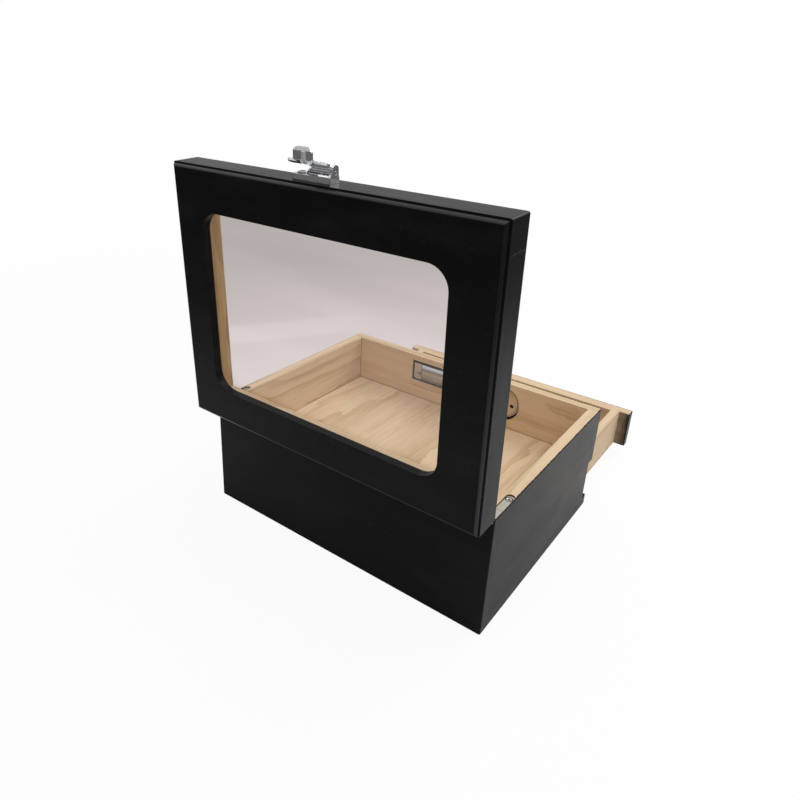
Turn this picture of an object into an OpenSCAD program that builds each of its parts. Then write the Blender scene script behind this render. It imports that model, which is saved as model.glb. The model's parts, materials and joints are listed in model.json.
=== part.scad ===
// Cigar humidor: a painted wooden case with a glazed lid, a tray and a drawer.
// The front faces -Y and the hinges are at +Y. The origin is the middle of the base's underside.
// The lid stands open, the drawer is pulled out and the latch is flipped open.

/* [Case] */
// Width of the case
case_w = 260; // [230:1:320]
// Depth of the case
case_d = 200; // [180:1:260]
// Height of the case rim above the table
case_h = 96.5; // [90:0.5:130]
// Thickness of the case boards and the base
board_t = 9; // [8.5:0.5:12]
// Rounding of the upright corners
corner_r = 1.2; // [0.5:0.1:3]
// Height of the drawer bay above the base
bay_h = 37.5; // [30:0.5:40]
// Thickness of the tray floor
floor_t = 5; // [3:0.5:8]
// Depth of the grooves that hold the tray floor
groove_d = 3; // [1:0.5:5]

/* [Lid] */
// How far the lid stands open, in degrees
lid_open = 92.3; // [0:0.1:95]
// Gap between the rim and the closed lid
lid_gap = 0.4; // [0.2:0.1:1]
// Height of the frame rails under the panel
rail_h = 17; // [13:0.5:25]
// Width of the front and back rails of the frame
rail_w = 20; // [18:0.5:35]
// Width of the left and right rails of the frame
stile_w = 22; // [18:0.5:35]
// Thickness of the top panel
panel_t = 6.5; // [6:0.5:12]
// Width of the panel around a window in its middle
window_margin = 30; // [24:0.5:45]
// How far the window sits right of the middle, seen from the front
window_x = 1.7; // [-4:0.1:4]
// How far the window sits behind the middle
window_y = 1.1; // [-4:0.1:4]
// Corner radius of the window
window_r = 15; // [4:0.5:30]
// Width of the ledge around the panel's face
ledge_w = 1.2; // [0.5:0.1:2]
// Radius of the bead around the panel's face
bead_r = 3; // [1:0.5:5]
// Thickness of the window pane
glass_t = 3; // [2:0.5:5]
// How far the pane reaches into the rails
glass_lip = 4.5; // [2:0.5:8]

/* [Hinges] */
// Length of a leaf from the pivot to its round end
leaf_len = 34; // [28:0.5:45]
// Width of a leaf
leaf_w = 6; // [5:0.1:6.6]
// Thickness of a leaf
leaf_t = 1.5; // [1.2:0.1:2]
// Depth of a leaf's face below the wood
leaf_sink = 0.9; // [0.6:0.1:1.2]
// Wood left between a leaf and the outer face
leaf_edge = 1; // [0.6:0.1:1.6]
// Length of the raised block beside the pivot
block_len = 13.5; // [10:0.5:18]
// Height of the raised block above the leaf
block_rise = 0.5; // [0.2:0.1:0.6]
// Width of the slit in the raised block
slit_w = 0.8; // [0.4:0.1:1.2]
// Radius of the knuckles
barrel_r = 2.5; // [2.2:0.1:3]
// Width of the middle knuckle
mid_knuckle_w = 2.2; // [1.6:0.1:2.6]
// Radius of the hinge pin
hinge_pin_r = 0.9; // [0.6:0.05:1.1]
// Distance of a leaf's screw from the pivot
leaf_screw_y = 29; // [22:0.5:30]
// Head radius of a leaf's screw
leaf_screw_r = 2.2; // [1.8:0.1:2.4]

/* [Latch] */
// Place of the latch along the front
latch_x = 5.5; // [-20:0.5:5.5]
// Width of the latch base
latch_w = 30; // [28:0.5:34]
// Depth of the latch base across the lid's edge
latch_d = 10.5; // [10:0.5:11]
// Height of the base's lower edge above the closed rim
latch_low = 7; // [5:0.5:7]
// Height of the base block
latch_h = 4.2; // [3.6:0.1:4.4]
// Thickness of the base under the trough
trough_t = 1.4; // [1:0.1:1.8]
// Wall between the trough and the base's upper edge
trough_wall = 1.5; // [1:0.1:1.8]
// Thickness of an ear
ear_t = 1.5; // [1:0.1:2]
// Width of the trough between the ears
trough_w = 16; // [14:0.5:17]
// Height of the pivot above the lid's edge
latch_pivot_h = 6.6; // [6.5:0.1:7]
// Distance of the pivot from the base's lower edge
latch_pivot_y = 4; // [3.5:0.1:4.2]
// Radius of the ears' round tops
ear_r = 2.8; // [2.4:0.1:3]
// Height of the tall ear's round top over the pivot
ear_rise = 1.9; // [0:0.1:2]
// Radius of the latch pin
latch_pin_r = 1; // [0.8:0.05:1.2]
// How far the open lever stands off the lid's edge, in degrees
latch_rest = 27; // [20:1:40]
// Radius of the lever's knuckle
lever_r = 2.8; // [2.4:0.1:2.8]
// Thickness of the lever plate
lever_t = 1.7; // [1.2:0.1:1.8]
// Height of the lever plate's lower face over its pivot
lever_rise = 0.65; // [0.5:0.05:0.8]
// Length of the lever plate from the pivot to the hook
lever_len = 15.2; // [14.6:0.1:16]
// Width of the lever's thumb wings
wing_w = 31.8; // [24:0.2:34]
// Where the thumb wings begin
wing_start = 6.6; // [6.5:0.1:7]
// Where the thumb wings end
wing_end = 11.2; // [10.8:0.1:12]
// Rounding of the thumb wings
wing_r = 2; // [1:0.1:2]
// Width of the hook
hook_w = 14.4; // [12:0.2:16]
// Height of the hook
hook_h = 7.8; // [6:0.2:7.8]
// Thickness of the hook
hook_t = 1.8; // [1.4:0.1:2]
// Rounding of the hook's tip
hook_r = 3.5; // [1:0.1:4]
// Angle between the lever plate and the hook, in degrees
hook_turn = 63; // [58:1:70]
// Height of the bevel along the hook's tip
bevel_h = 2.4; // [1:0.1:3]
// Slope of the bevel, in degrees
bevel_turn = 22; // [10:1:25]
// Width of the rib on the hook
rib_w = 3.6; // [2:0.1:5]
// Height of the rib on the hook
rib_t = 0.5; // [0.2:0.1:0.8]
// Place of the rib across the hook
rib_x = -1.2; // [-2:0.1:2]

/* [Strike] */
// Width of the strike plate
strike_w = 15; // [13:0.5:15]
// Height of the strike plate
strike_h = 13; // [12.6:0.2:14]
// Thickness of the strike plate
strike_t = 1.2; // [0.8:0.1:1.4]
// Distance of the strike plate below the closed lid
strike_drop = 2; // [1.6:0.1:2.4]
// Distance of the strike's lip below the plate's top edge
lip_drop = 1.2; // [0.6:0.1:1.4]
// Reach of the strike's lip
lip_reach = 4; // [3:0.1:4.2]
// Width of the strike's lip
lip_w = 12; // [8:0.5:13]

/* [Drawer] */
// How far the drawer is pulled out
drawer_out = 117; // [0:1:150]
// Clearance over and under the drawer
drawer_gap = 0.5; // [0.3:0.1:1]
// Clearance on each side of the drawer
drawer_play = 1.5; // [0.5:0.1:2.5]
// Space behind the closed drawer
drawer_tail = 5; // [2:0.5:15]
// Thickness of the drawer's sides and back
drawer_side_t = 8; // [6:0.5:10]
// Thickness of the drawer bottom
drawer_bottom_t = 3.5; // [2.5:0.5:5]
// Thickness of the board behind the drawer front
drawer_liner_t = 3.4; // [2.5:0.1:5]
// Radius of the knob's head
knob_r = 7; // [5:0.5:10]
// Length of the knob
knob_len = 15; // [12:0.5:22]

/* [Hygrometer] */
// Gap between the strike plate and the hygrometer's flange
hygro_gap = 0.9; // [0.5:0.1:20]
// Distance of the hygrometer's middle below the rim
hygro_drop = 16.5; // [14.5:0.5:20]
// Width of the cut-out
hygro_w = 40; // [36:0.5:42]
// Height of the cut-out
hygro_h = 21.6; // [20:0.2:24]
// Distance from the housing's back to the tray side of the board
hygro_sink = 1.2; // [0.8:0.1:2]
// Width of the front flange past the cut-out
bezel_lip = 2.4; // [1.5:0.1:2.5]
// Thickness of the front flange
bezel_t = 2; // [1.6:0.1:3]
// Width of the battery door
door_w = 28; // [20:0.5:29]
// Rise of the battery door's crown
door_rise = 1.2; // [0.8:0.1:1.6]

/* [Humidifier] */
// Middle of the humidifier along the front
puck_x = -43; // [-80:0.1:-20]
// Distance of the humidifier's middle below the rim
puck_drop = 21; // [19:0.1:24]
// Radius of the round pocket that holds the humidifier
puck_hole_r = 16.8; // [16:0.1:18]
// Depth of the round pocket
puck_hole_d = 7.5; // [6:0.1:7.5]
// Radius of the humidifier's cup
cup_r = 15.2; // [13:0.1:15.6]
// Depth of the humidifier
puck_d = 3.7; // [3.4:0.1:5]
// Radius of a vent hole
vent_r = 1.9; // [1:0.1:2.4]
// Distance of the vent holes from the middle
vent_ring = 8.5; // [6:0.1:9]
// Number of vent holes
vent_count = 4; // [3:1:6]

/* [Hidden] */
$fn = 48;

// Colours
paint = "#1b1b1c";
pale_wood = "#d8b48c";
nickel = "#c9c5bd";
bright = "#d6d8da";
dark_steel = "#54565a";
clear = "#dfe4e6";

// Overrun of a cut past the face it opens
over = 1;
// Clearance round a screw or a fitted panel
fit = 0.08;
// Clearance of a pin in the piece that turns on it
pin_fit = 0.05;
// Clearance between a leaf and its mortise
mortise_play = 0.12;
// Clearance round a knuckle that turns past another piece
barrel_play = 0.35;
// Gap between two knuckles
knuckle_gap = 0.15;
// Height of a screw's dome as a share of its radius
dome_share = 0.35;
// Radius of a screw head's crown as a share of its radius
crown_share = 0.65;
// Arm of a screw's crossed recess as a share of its radius
recess_share = 0.55;
// Slot of a screw's crossed recess as a share of its radius
recess_slot = 0.2;

// Places worked out from the sizes above
half_w = case_w / 2;
half_d = case_d / 2;
bay_top = board_t + bay_h;
pivot_y = half_d;
pivot_z = case_h + lid_gap / 2;
lid_z = case_h + lid_gap;
lid_h = rail_h + panel_t;
hinge_x = half_w - leaf_edge - leaf_w / 2;
leaf_face = lid_gap / 2 + leaf_sink;
leaf_low = leaf_face + leaf_t;
outer_knuckle_w = (leaf_w - mid_knuckle_w) / 2 - knuckle_gap;
inside_d = case_d - 2 * board_t;
drawer_z = board_t + drawer_gap;
drawer_top = bay_top - drawer_gap;
drawer_half = half_w - board_t - drawer_play;
drawer_len = inside_d - drawer_tail;
drawer_mid_z = (drawer_z + drawer_top) / 2;
latch_axis_y = latch_low + latch_pivot_y;

// Rectangle with round corners, centred
module round_rect(w, d, r) {
    square([w - 2 * r, d], center = true);
    square([w, d - 2 * r], center = true);
    for (x = [-1, 1], y = [-1, 1])
        translate([x * (w / 2 - r), y * (d / 2 - r)])
            circle(r);
}

// Full footprint of the case between two heights
module footprint(z, h) {
    translate([0, 0, z])
        linear_extrude(h)
            round_rect(case_w, case_d, corner_r);
}

// Turns what is drawn on the closed lid to where the lid stands
module lid_pose() {
    translate([0, pivot_y, pivot_z])
        rotate([-lid_open, 0, 0])
            translate([0, -pivot_y, -pivot_z])
                children();
}

// Moves what is drawn on the closed drawer to where the drawer stands
module drawer_pose() {
    translate([0, -drawer_out, 0])
        children();
}

// Front of the case and lid seen as a drawing board: x, height over the closed lid's edge, reach
module front_board() {
    translate([latch_x, -half_d, lid_z])
        rotate([90, 0, 0])
            children();
}

// Countersunk screw with a low dome, its head's rim at the origin and its point down
module oval_screw(r, shank_r, len, grow = 0) {
    dome_h = dome_share * r;
    rotate_extrude()
        polygon([
            [0, dome_h + grow],
            [crown_share * r, 0.75 * dome_h + grow],
            [r + grow, grow],
            [shank_r + grow, -(r - shank_r)],
            [shank_r + grow, -len + shank_r],
            [0, -len - grow]
        ]);
}

// Pan head screw standing on the plane at the origin
module pan_screw(r, head_h, shank_r, len, grow = 0) {
    rotate_extrude()
        polygon([
            [0, head_h],
            [crown_share * r, head_h],
            [r, head_h / 2],
            [r, 0],
            [shank_r + grow, 0],
            [shank_r + grow, -len + shank_r],
            [0, -len - grow]
        ]);
}

// Crossed recess in the head of a screw of radius r, its floor at the origin
module cross_recess(r, h) {
    arm = recess_share * r;
    slot = recess_slot * r;
    for (a = [0, 90])
        rotate(a)
            translate([-arm, -slot / 2, 0])
                cube([2 * arm, slot, h]);
}

// Board of the case between the front and back, on one side
module side_board(side) {
    color(pale_wood)
        difference() {
            translate([side * (half_w - board_t / 2) - board_t / 2, -half_d + board_t, board_t])
                cube([board_t, inside_d, case_h - board_t]);
            floor_blank(fit);
            at_hinges() {
                hinge_pocket();
                leaf_screw(fit);
            }
        }
}

// Tray floor grown on all sides by a clearance
module floor_blank(grow = 0) {
    w = case_w - 2 * board_t + 2 * groove_d;
    d = inside_d + 2 * groove_d;
    translate([-w / 2 - grow, -d / 2 - grow, bay_top - grow])
        cube([w + 2 * grow, d + 2 * grow, floor_t + 2 * grow]);
}

module base_board() {
    color(paint)
        footprint(0, board_t);
}

module left_side() {
    side_board(-1);
}

module right_side() {
    side_board(1);
}

module front_fascia() {
    color(pale_wood)
        difference() {
            intersection() {
                footprint(bay_top, case_h - bay_top);
                translate([-half_w, -half_d, 0])
                    cube([case_w, board_t, case_h]);
            }
            floor_blank(fit);
            hygro_place()
                translate([-hygro_w / 2, -over, -hygro_h / 2])
                    cube([hygro_w, board_t + 2 * over, hygro_h]);
            puck_place()
                y_rod(puck_hole_r, 0, puck_hole_d + over);
            front_board()
                strike_screw_places()
                    pan_screw(strike_screw_r, strike_head_h, wood_shank_r, strike_screw_len, fit);
        }
}

module back_wall() {
    color(pale_wood)
        difference() {
            intersection() {
                footprint(board_t, case_h - board_t);
                translate([-half_w, half_d - board_t, 0])
                    cube([case_w, board_t, case_h]);
            }
            floor_blank(fit);
            at_hinges()
                hinge_pocket();
        }
}

module tray_floor() {
    color(pale_wood)
        floor_blank();
}

// Hinges

// Places a hinge at each side, with the pivot at the origin
module at_hinges() {
    for (side = [-1, 1])
        at_hinge(side)
            children();
}

module at_hinge(side) {
    translate([side * hinge_x, pivot_y, pivot_z])
        mirror([side < 0 ? 1 : 0, 0, 0])
            children();
}

// Turns a case leaf over into a lid leaf
module lid_side() {
    mirror([0, 0, 1])
        children();
}

module leaf_outline(grow = 0) {
    r = leaf_w / 2 + grow;
    translate([0, -leaf_len + leaf_w / 2])
        circle(r);
    translate([-r, -leaf_len + leaf_w / 2])
        square([2 * r, leaf_len - leaf_w / 2]);
}

module x_rod(r, x, len) {
    translate([x, 0, 0])
        rotate([0, 90, 0])
            cylinder(r = r, h = len);
}

module outer_knuckles(r, grow = 0) {
    x_rod(r, -leaf_w / 2 - grow, outer_knuckle_w + 2 * grow);
    x_rod(r, leaf_w / 2 - outer_knuckle_w - grow, outer_knuckle_w + 2 * grow);
}

module mid_knuckle(r, grow = 0) {
    x_rod(r, -mid_knuckle_w / 2 - grow, mid_knuckle_w + 2 * grow);
}

module leaf_plate() {
    translate([0, 0, -leaf_low])
        linear_extrude(leaf_t)
            leaf_outline();
    translate([-leaf_w / 2, -block_len, -leaf_low])
        cube([leaf_w, block_len, leaf_t + block_rise]);
}

module leaf_cuts() {
    x_rod(hinge_pin_r + pin_fit, -leaf_w / 2 - over, leaf_w + 2 * over);
    leaf_screw(fit);
    translate([-leaf_w / 2 + slit_w, -block_len - over, -leaf_low + leaf_t])
        cube([slit_w, block_len / 2 + over, block_rise + over]);
}

module leaf_screw(grow = 0) {
    translate([0, -leaf_screw_y, -leaf_face - dome_share * leaf_screw_r])
        oval_screw(leaf_screw_r, wood_shank_r, leaf_screw_len, grow);
}

module case_leaf() {
    color(nickel)
        difference() {
            union() {
                difference() {
                    leaf_plate();
                    mid_knuckle(barrel_r + barrel_play, knuckle_gap);
                }
                outer_knuckles(barrel_r);
            }
            leaf_cuts();
        }
}

module lid_leaf() {
    color(nickel)
        difference() {
            union() {
                difference() {
                    leaf_plate();
                    outer_knuckles(barrel_r + barrel_play, knuckle_gap);
                }
                mid_knuckle(barrel_r);
            }
            leaf_cuts();
        }
}

// Mortise that takes a leaf and the knuckles
module hinge_pocket() {
    r = barrel_r + barrel_play;
    translate([0, 0, -leaf_low])
        linear_extrude(leaf_low + over)
            leaf_outline(mortise_play);
    x_rod(r, -leaf_w / 2 - mortise_play, leaf_w + 2 * mortise_play);
}

module slotted_leaf_screw() {
    color(nickel)
        difference() {
            leaf_screw();
            translate([0, -leaf_screw_y, -leaf_face - dome_share * leaf_screw_r])
                cross_recess(leaf_screw_r, over);
        }
}

module hinge_pin() {
    color(nickel)
        x_rod(hinge_pin_r, -leaf_w / 2, leaf_w);
}

module left_hinge_case_leaf() {
    at_hinge(-1)
        case_leaf();
}

module right_hinge_case_leaf() {
    at_hinge(1)
        case_leaf();
}

module left_hinge_pin() {
    at_hinge(-1)
        hinge_pin();
}

module right_hinge_pin() {
    at_hinge(1)
        hinge_pin();
}

module hinge_case_screws() {
    at_hinges()
        slotted_leaf_screw();
}

module left_hinge_lid_leaf() {
    lid_pose()
        at_hinge(-1)
            lid_side()
                lid_leaf();
}

module right_hinge_lid_leaf() {
    lid_pose()
        at_hinge(1)
            lid_side()
                lid_leaf();
}

module hinge_lid_screws() {
    lid_pose()
        at_hinges()
            lid_side()
                slotted_leaf_screw();
}

// Lid, drawn closed and turned by lid_pose

// Cut along one edge of the panel's face that leaves a ledge and a round bead
module bead_cutter(len) {
    rotate([90, 0, 90])
        linear_extrude(len + 2 * over, center = true)
            difference() {
                translate([-over, -bead_r])
                    square([over + ledge_w + bead_r, bead_r + over]);
                translate([ledge_w + bead_r, -bead_r])
                    circle(bead_r);
            }
}

module lid_panel() {
    color(paint)
        lid_pose()
            difference() {
                footprint(lid_z + rail_h, panel_t);
                translate([window_x, window_y, lid_z + rail_h - over])
                    linear_extrude(panel_t + 2 * over)
                        round_rect(case_w - 2 * window_margin, case_d - 2 * window_margin, window_r);
                for (turn = [0, 180])
                    rotate(turn) {
                        translate([0, -half_d, lid_z + lid_h])
                            bead_cutter(case_w);
                        translate([half_w, 0, lid_z + lid_h])
                            rotate(90)
                                bead_cutter(case_d);
                    }
            }
}

// Window pane grown on all sides by a clearance
module glass_blank(grow = 0) {
    w = case_w - 2 * stile_w + 2 * glass_lip;
    d = case_d - 2 * rail_w + 2 * glass_lip;
    translate([-w / 2 - grow, -d / 2 - grow, lid_z + rail_h - glass_t - grow])
        cube([w + 2 * grow, d + 2 * grow, glass_t + grow]);
}

module lid_glass() {
    color(clear, 0.35)
        lid_pose()
            glass_blank();
}

// One rail of the lid's frame, cut from the lid's footprint
module lid_rail(x, y, w, d) {
    color(pale_wood)
        lid_pose()
            difference() {
                intersection() {
                    footprint(lid_z, rail_h);
                    translate([x, y, lid_z])
                        cube([w, d, rail_h]);
                }
                glass_blank(fit);
                at_hinges()
                    lid_side() {
                        hinge_pocket();
                        leaf_screw(fit);
                    }
                front_board()
                    latch_screw_holes();
            }
}

module lid_front_rail() {
    lid_rail(-half_w, -half_d, case_w, rail_w);
}

module lid_back_rail() {
    lid_rail(-half_w, half_d - rail_w, case_w, rail_w);
}

module lid_left_rail() {
    lid_rail(-half_w, -half_d + rail_w, stile_w, case_d - 2 * rail_w);
}

module lid_right_rail() {
    lid_rail(half_w - stile_w, -half_d + rail_w, stile_w, case_d - 2 * rail_w);
}

// Latch, drawn on the front board: x, height over the lid's lower edge, reach

// Screws of the latch, the strike and the leaves
wood_shank_r = 1.1;
leaf_screw_len = 10;
block_screw_r = 3.1;
block_screw_x = 10.5;
trough_screw_r = 1.7;
latch_head_h = 1.1;
latch_screw_len = 14;
strike_screw_r = 2;
strike_head_h = 1.2;
strike_screw_len = 8;
strike_screw_x = 4.4;
// Metal left beside a screw head
screw_border = 0.8;
// Wood left between a latch screw and the lid's panel
screw_land = 0.4;
latch_corner = 1;
// Small step between the lever's plate, its knuckle and its hook
lever_step = 0.25;
// Where an ear's sloping flank meets its round top, in degrees
ear_slope = 40;
// Where the trough, the ears and the knuckle lie along the base
tall_ear_x = -latch_w / 2;
trough_x = tall_ear_x + ear_t;
low_ear_x = trough_x + trough_w;
knuckle_x = trough_x + knuckle_gap;
knuckle_w = trough_w - 2 * knuckle_gap;
trough_top_y = latch_low + latch_d - trough_wall;
block_screw_y = latch_low + latch_d / 2;
trough_screw_y = min(trough_top_y - trough_screw_r, rail_h - wood_shank_r - screw_land) - fit;
trough_screw_x = trough_x + trough_w / 2;

module block_screw_place() {
    translate([block_screw_x, block_screw_y, latch_h])
        children();
}

module trough_screw_place() {
    translate([trough_screw_x, trough_screw_y, trough_t])
        children();
}

module latch_screw_holes() {
    block_screw_place()
        pan_screw(block_screw_r, latch_head_h, wood_shank_r, latch_screw_len, fit);
    trough_screw_place()
        pan_screw(trough_screw_r, latch_head_h, wood_shank_r, latch_screw_len, fit);
}

// Upright ear: one flank straight up from the base's lower edge, a round top and a sloping flank
module ear_profile(rise) {
    top_h = latch_pivot_h + rise;
    foot_y = latch_low + latch_d - latch_corner;
    translate([latch_axis_y, top_h])
        circle(ear_r);
    polygon([
        [latch_axis_y - ear_r, 0],
        [foot_y, 0],
        [foot_y, latch_h],
        [latch_axis_y + ear_r * cos(ear_slope), top_h + ear_r * sin(ear_slope)],
        [latch_axis_y, top_h],
        [latch_axis_y - ear_r, top_h]
    ]);
}

module ear(x, rise) {
    translate([x, 0, 0])
        rotate([90, 0, 90])
            linear_extrude(ear_t)
                ear_profile(rise);
}

module at_latch_pivot() {
    translate([0, latch_axis_y, latch_pivot_h])
        children();
}

module latch_base() {
    color(bright)
        lid_pose()
            front_board()
                difference() {
                    union() {
                        translate([0, latch_low + latch_d / 2, 0])
                            linear_extrude(latch_h)
                                round_rect(latch_w, latch_d, latch_corner);
                        ear(tall_ear_x, ear_rise);
                        ear(low_ear_x, 0);
                    }
                    translate([trough_x, latch_low - over, trough_t])
                        cube([trough_w, trough_top_y - latch_low + over, latch_h]);
                    at_latch_pivot()
                        x_rod(latch_pin_r + pin_fit, -latch_w, 2 * latch_w);
                    latch_screw_holes();
                }
}

module latch_pin() {
    color(bright)
        lid_pose()
            front_board()
                at_latch_pivot()
                    x_rod(latch_pin_r, tall_ear_x, trough_w + 2 * ear_t);
}

// Outline of the lever plate: x across, y away from the pivot
module lever_outline() {
    wing_mid = (wing_start + wing_end) / 2;
    neck_w = hook_w - 2 * lever_step;
    translate([knuckle_x + lever_step, 0])
        square([knuckle_w - 2 * lever_step, wing_mid]);
    translate([0, wing_mid])
        round_rect(wing_w, wing_end - wing_start, wing_r);
    translate([-neck_w / 2, wing_mid])
        square([neck_w, lever_len - lever_step - wing_mid]);
}

// Outline of the hook with two round corners at its tip
module hook_outline() {
    translate([-hook_w / 2, 0])
        square([hook_w, hook_h - hook_r]);
    translate([-hook_w / 2 + hook_r, 0])
        square([hook_w - 2 * hook_r, hook_h]);
    for (side = [-1, 1])
        translate([side * (hook_w / 2 - hook_r), hook_h - hook_r])
            circle(hook_r);
}

// Low round rib up the hook's outer face, a slice of a drum
module hook_rib() {
    drum_r = (rib_w * rib_w / 4 + rib_t * rib_t) / (2 * rib_t);
    translate([0, lever_step, 0])
        rotate([-90, 0, 0])
            linear_extrude(hook_h - bevel_h - 2 * lever_step)
                intersection() {
                    translate([-rib_w / 2, -hook_t / 2])
                        square([rib_w, hook_t / 2 + rib_t]);
                    translate([0, rib_t - drum_r])
                        circle(drum_r);
                }
}

module hook() {
    difference() {
        linear_extrude(hook_t)
            hook_outline();
        translate([-hook_w, hook_h - bevel_h, 0])
            rotate([bevel_turn, 0, 0])
                translate([0, 0, -hook_w])
                    cube([2 * hook_w, hook_w, hook_w]);
    }
    translate([rib_x, 0, 0])
        hook_rib();
}

module latch_lever() {
    color(bright)
        lid_pose()
            front_board()
                at_latch_pivot()
                    rotate([latch_rest, 0, 0])
                        difference() {
                            union() {
                                x_rod(lever_r, knuckle_x, knuckle_w);
                                translate([0, 0, lever_rise])
                                    linear_extrude(lever_t)
                                        lever_outline();
                                translate([0, lever_len, lever_rise])
                                    rotate([hook_turn, 0, 0])
                                        hook();
                            }
                            x_rod(latch_pin_r + pin_fit, -latch_w, 2 * latch_w);
                        }
}

module latch_screws() {
    color(dark_steel)
        lid_pose()
            front_board() {
                block_screw_place()
                    recessed_pan_screw(block_screw_r, latch_head_h, latch_screw_len);
                trough_screw_place()
                    recessed_pan_screw(trough_screw_r, latch_head_h, latch_screw_len);
            }
}

module recessed_pan_screw(r, head_h, len) {
    difference() {
        pan_screw(r, head_h, wood_shank_r, len);
        translate([0, 0, head_h / 2])
            cross_recess(r, head_h);
    }
}

// Strike on the fascia, drawn on the same front board below the lid's edge

module strike_screw_places() {
    y = -strike_drop - strike_h + strike_screw_r + screw_border;
    for (side = [-1, 1])
        translate([side * strike_screw_x, y, strike_t])
            children();
}

module strike_plate() {
    lip_y = -strike_drop - lip_drop;
    color(bright)
        front_board()
            difference() {
                union() {
                    translate([0, -strike_drop - strike_h / 2, 0])
                        linear_extrude(strike_t)
                            round_rect(strike_w, strike_h, latch_corner);
                    translate([-lip_w / 2, lip_y, 0])
                        cube([lip_w, strike_t, strike_t + lip_reach]);
                    translate([-lip_w / 2, lip_y - strike_t / 2, lip_reach])
                        cube([lip_w, strike_t, strike_t]);
                }
                strike_screw_places()
                    pan_screw(strike_screw_r, strike_head_h, wood_shank_r, strike_screw_len, fit);
            }
}

module strike_screws() {
    color(dark_steel)
        front_board()
            strike_screw_places()
                recessed_pan_screw(strike_screw_r, strike_head_h, strike_screw_len);
}

// Hygrometer, drawn with its cut-out's middle at the origin on the case's front face

hygro_x = latch_x + strike_w / 2 + hygro_gap + bezel_lip + hygro_w / 2;
hygro_z = case_h - hygro_drop;
// Clearance between the housing and its cut-out
slot_play = 0.3;
housing_d = board_t - hygro_sink;
housing_w = hygro_w - 2 * slot_play;
housing_h = hygro_h - 2 * slot_play;
// Walls of the housing beside, over and under the screen
screen_side = 2.2;
screen_rim = 2.6;
screen_w = housing_w - 2 * screen_side;
screen_h = housing_h - 2 * screen_rim;
screen_d = 2.2;
lens_t = 1;
// How far the lens lies off the screen, and the circuit board behind it
lens_off = 0.3;
circuit_off = 0.6;
circuit_t = 1.2;
circuit_y = screen_d + circuit_off;
pocket_d = circuit_y + circuit_t + fit;
cell_r = 7.5;
cell_t = 1.6;
// Border of the housing round the battery door
door_border = 1;
door_x = -housing_w / 2 + door_border + door_w / 2;
door_h = housing_h - 2 * door_border;
door_edge = 0.4;
door_r = ((door_h / 2) * (door_h / 2) + door_rise * door_rise) / (2 * door_rise);
back_screw_r = 1.5;
back_shank_r = 0.75;
// Where the small screw stands beside the door, and below the middle
back_screw_off = 2.9;
back_screw_x = door_x + door_w / 2 + back_screw_off;
back_screw_z = -2.3;
back_head_h = 0.8;
back_screw_len = 2.4;

module hygro_place() {
    translate([hygro_x, -half_d, hygro_z])
        children();
}

module y_rod(r, y, len) {
    translate([0, y, 0])
        rotate([-90, 0, 0])
            cylinder(r = r, h = len);
}

module hygro_slab(w, h, y, d) {
    translate([-w / 2, y, -h / 2])
        cube([w, d, h]);
}

module back_screw_place() {
    translate([back_screw_x, housing_d, back_screw_z])
        rotate([-90, 0, 0])
            children();
}

module hygrometer_housing() {
    color("#aeb0b0")
        hygro_place()
            difference() {
                hygro_slab(housing_w, housing_h, 0, housing_d);
                hygro_slab(screen_w + 2 * fit, screen_h + 2 * fit, -over, over + pocket_d);
                translate([door_x, 0, 0])
                    y_rod(cell_r + fit, housing_d - cell_t - fit, cell_t + over);
                back_screw_place()
                    pan_screw(back_screw_r, back_head_h, back_shank_r, back_screw_len, fit);
            }
}

module hygrometer_bezel() {
    color("#26272a")
        hygro_place()
            difference() {
                rotate([90, 0, 0])
                    linear_extrude(bezel_t)
                        round_rect(hygro_w + 2 * bezel_lip, hygro_h + 2 * bezel_lip, 2 * bezel_lip);
                hygro_slab(screen_w, screen_h, -bezel_t - over, bezel_t + 2 * over);
            }
}

module hygrometer_lens() {
    color(clear, 0.35)
        hygro_place()
            hygro_slab(screen_w - 2 * fit, screen_h - 2 * fit, -lens_t - lens_off, lens_t);
}

module hygrometer_display() {
    color("#9aa394")
        hygro_place()
            hygro_slab(screen_w, screen_h, 0, screen_d);
}

module hygrometer_board() {
    color("darkgreen")
        hygro_place()
            hygro_slab(screen_w, screen_h, circuit_y, circuit_t);
}

module hygrometer_cell() {
    color(bright)
        hygro_place()
            translate([door_x, 0, 0])
                y_rod(cell_r, housing_d - cell_t, cell_t);
}

// Door over the cell, bowed outwards like a slice of a wide drum
module hygrometer_battery_door() {
    color("#c4c6c6")
        hygro_place()
            translate([door_x - door_w / 2, housing_d, 0])
                rotate([90, 0, 90])
                    linear_extrude(door_w)
                        intersection() {
                            translate([0, -door_h / 2])
                                square([door_edge + door_rise, door_h]);
                            translate([door_edge + door_rise - door_r, 0])
                                circle(door_r, $fn = 180);
                        }
}

module hygrometer_screw() {
    color(bright)
        hygro_place()
            back_screw_place()
                difference() {
                    pan_screw(back_screw_r, back_head_h, back_shank_r, back_screw_len);
                    translate([0, 0, back_head_h / 2])
                        cross_recess(back_screw_r, back_head_h);
                }
}

// Humidifier in a round pocket on the tray side of the fascia, drawn with its axis along Y
// and the bottom of the pocket at the origin

plate_t = 0.6;
plate_r = 10;
case_base_t = 0.6;
cover_t = 0.8;
cover_wall = 0.8;
cup_wall = 1;
// Gap between the cover and the cup's wall
cover_gap = 0.6;
// Clearance between the cover and the sponge
cover_play = 0.15;
cover_r = cup_r - cup_wall - cover_gap;
cover_y = plate_t + case_base_t;
sponge_d = puck_d - cover_t - cover_y - cover_play;
vent_turn = -18;

module puck_place() {
    translate([puck_x, -half_d + board_t - puck_hole_d, case_h - puck_drop])
        children();
}

module humidifier_plate() {
    color(dark_steel)
        puck_place()
            y_rod(plate_r, 0, plate_t);
}

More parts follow.
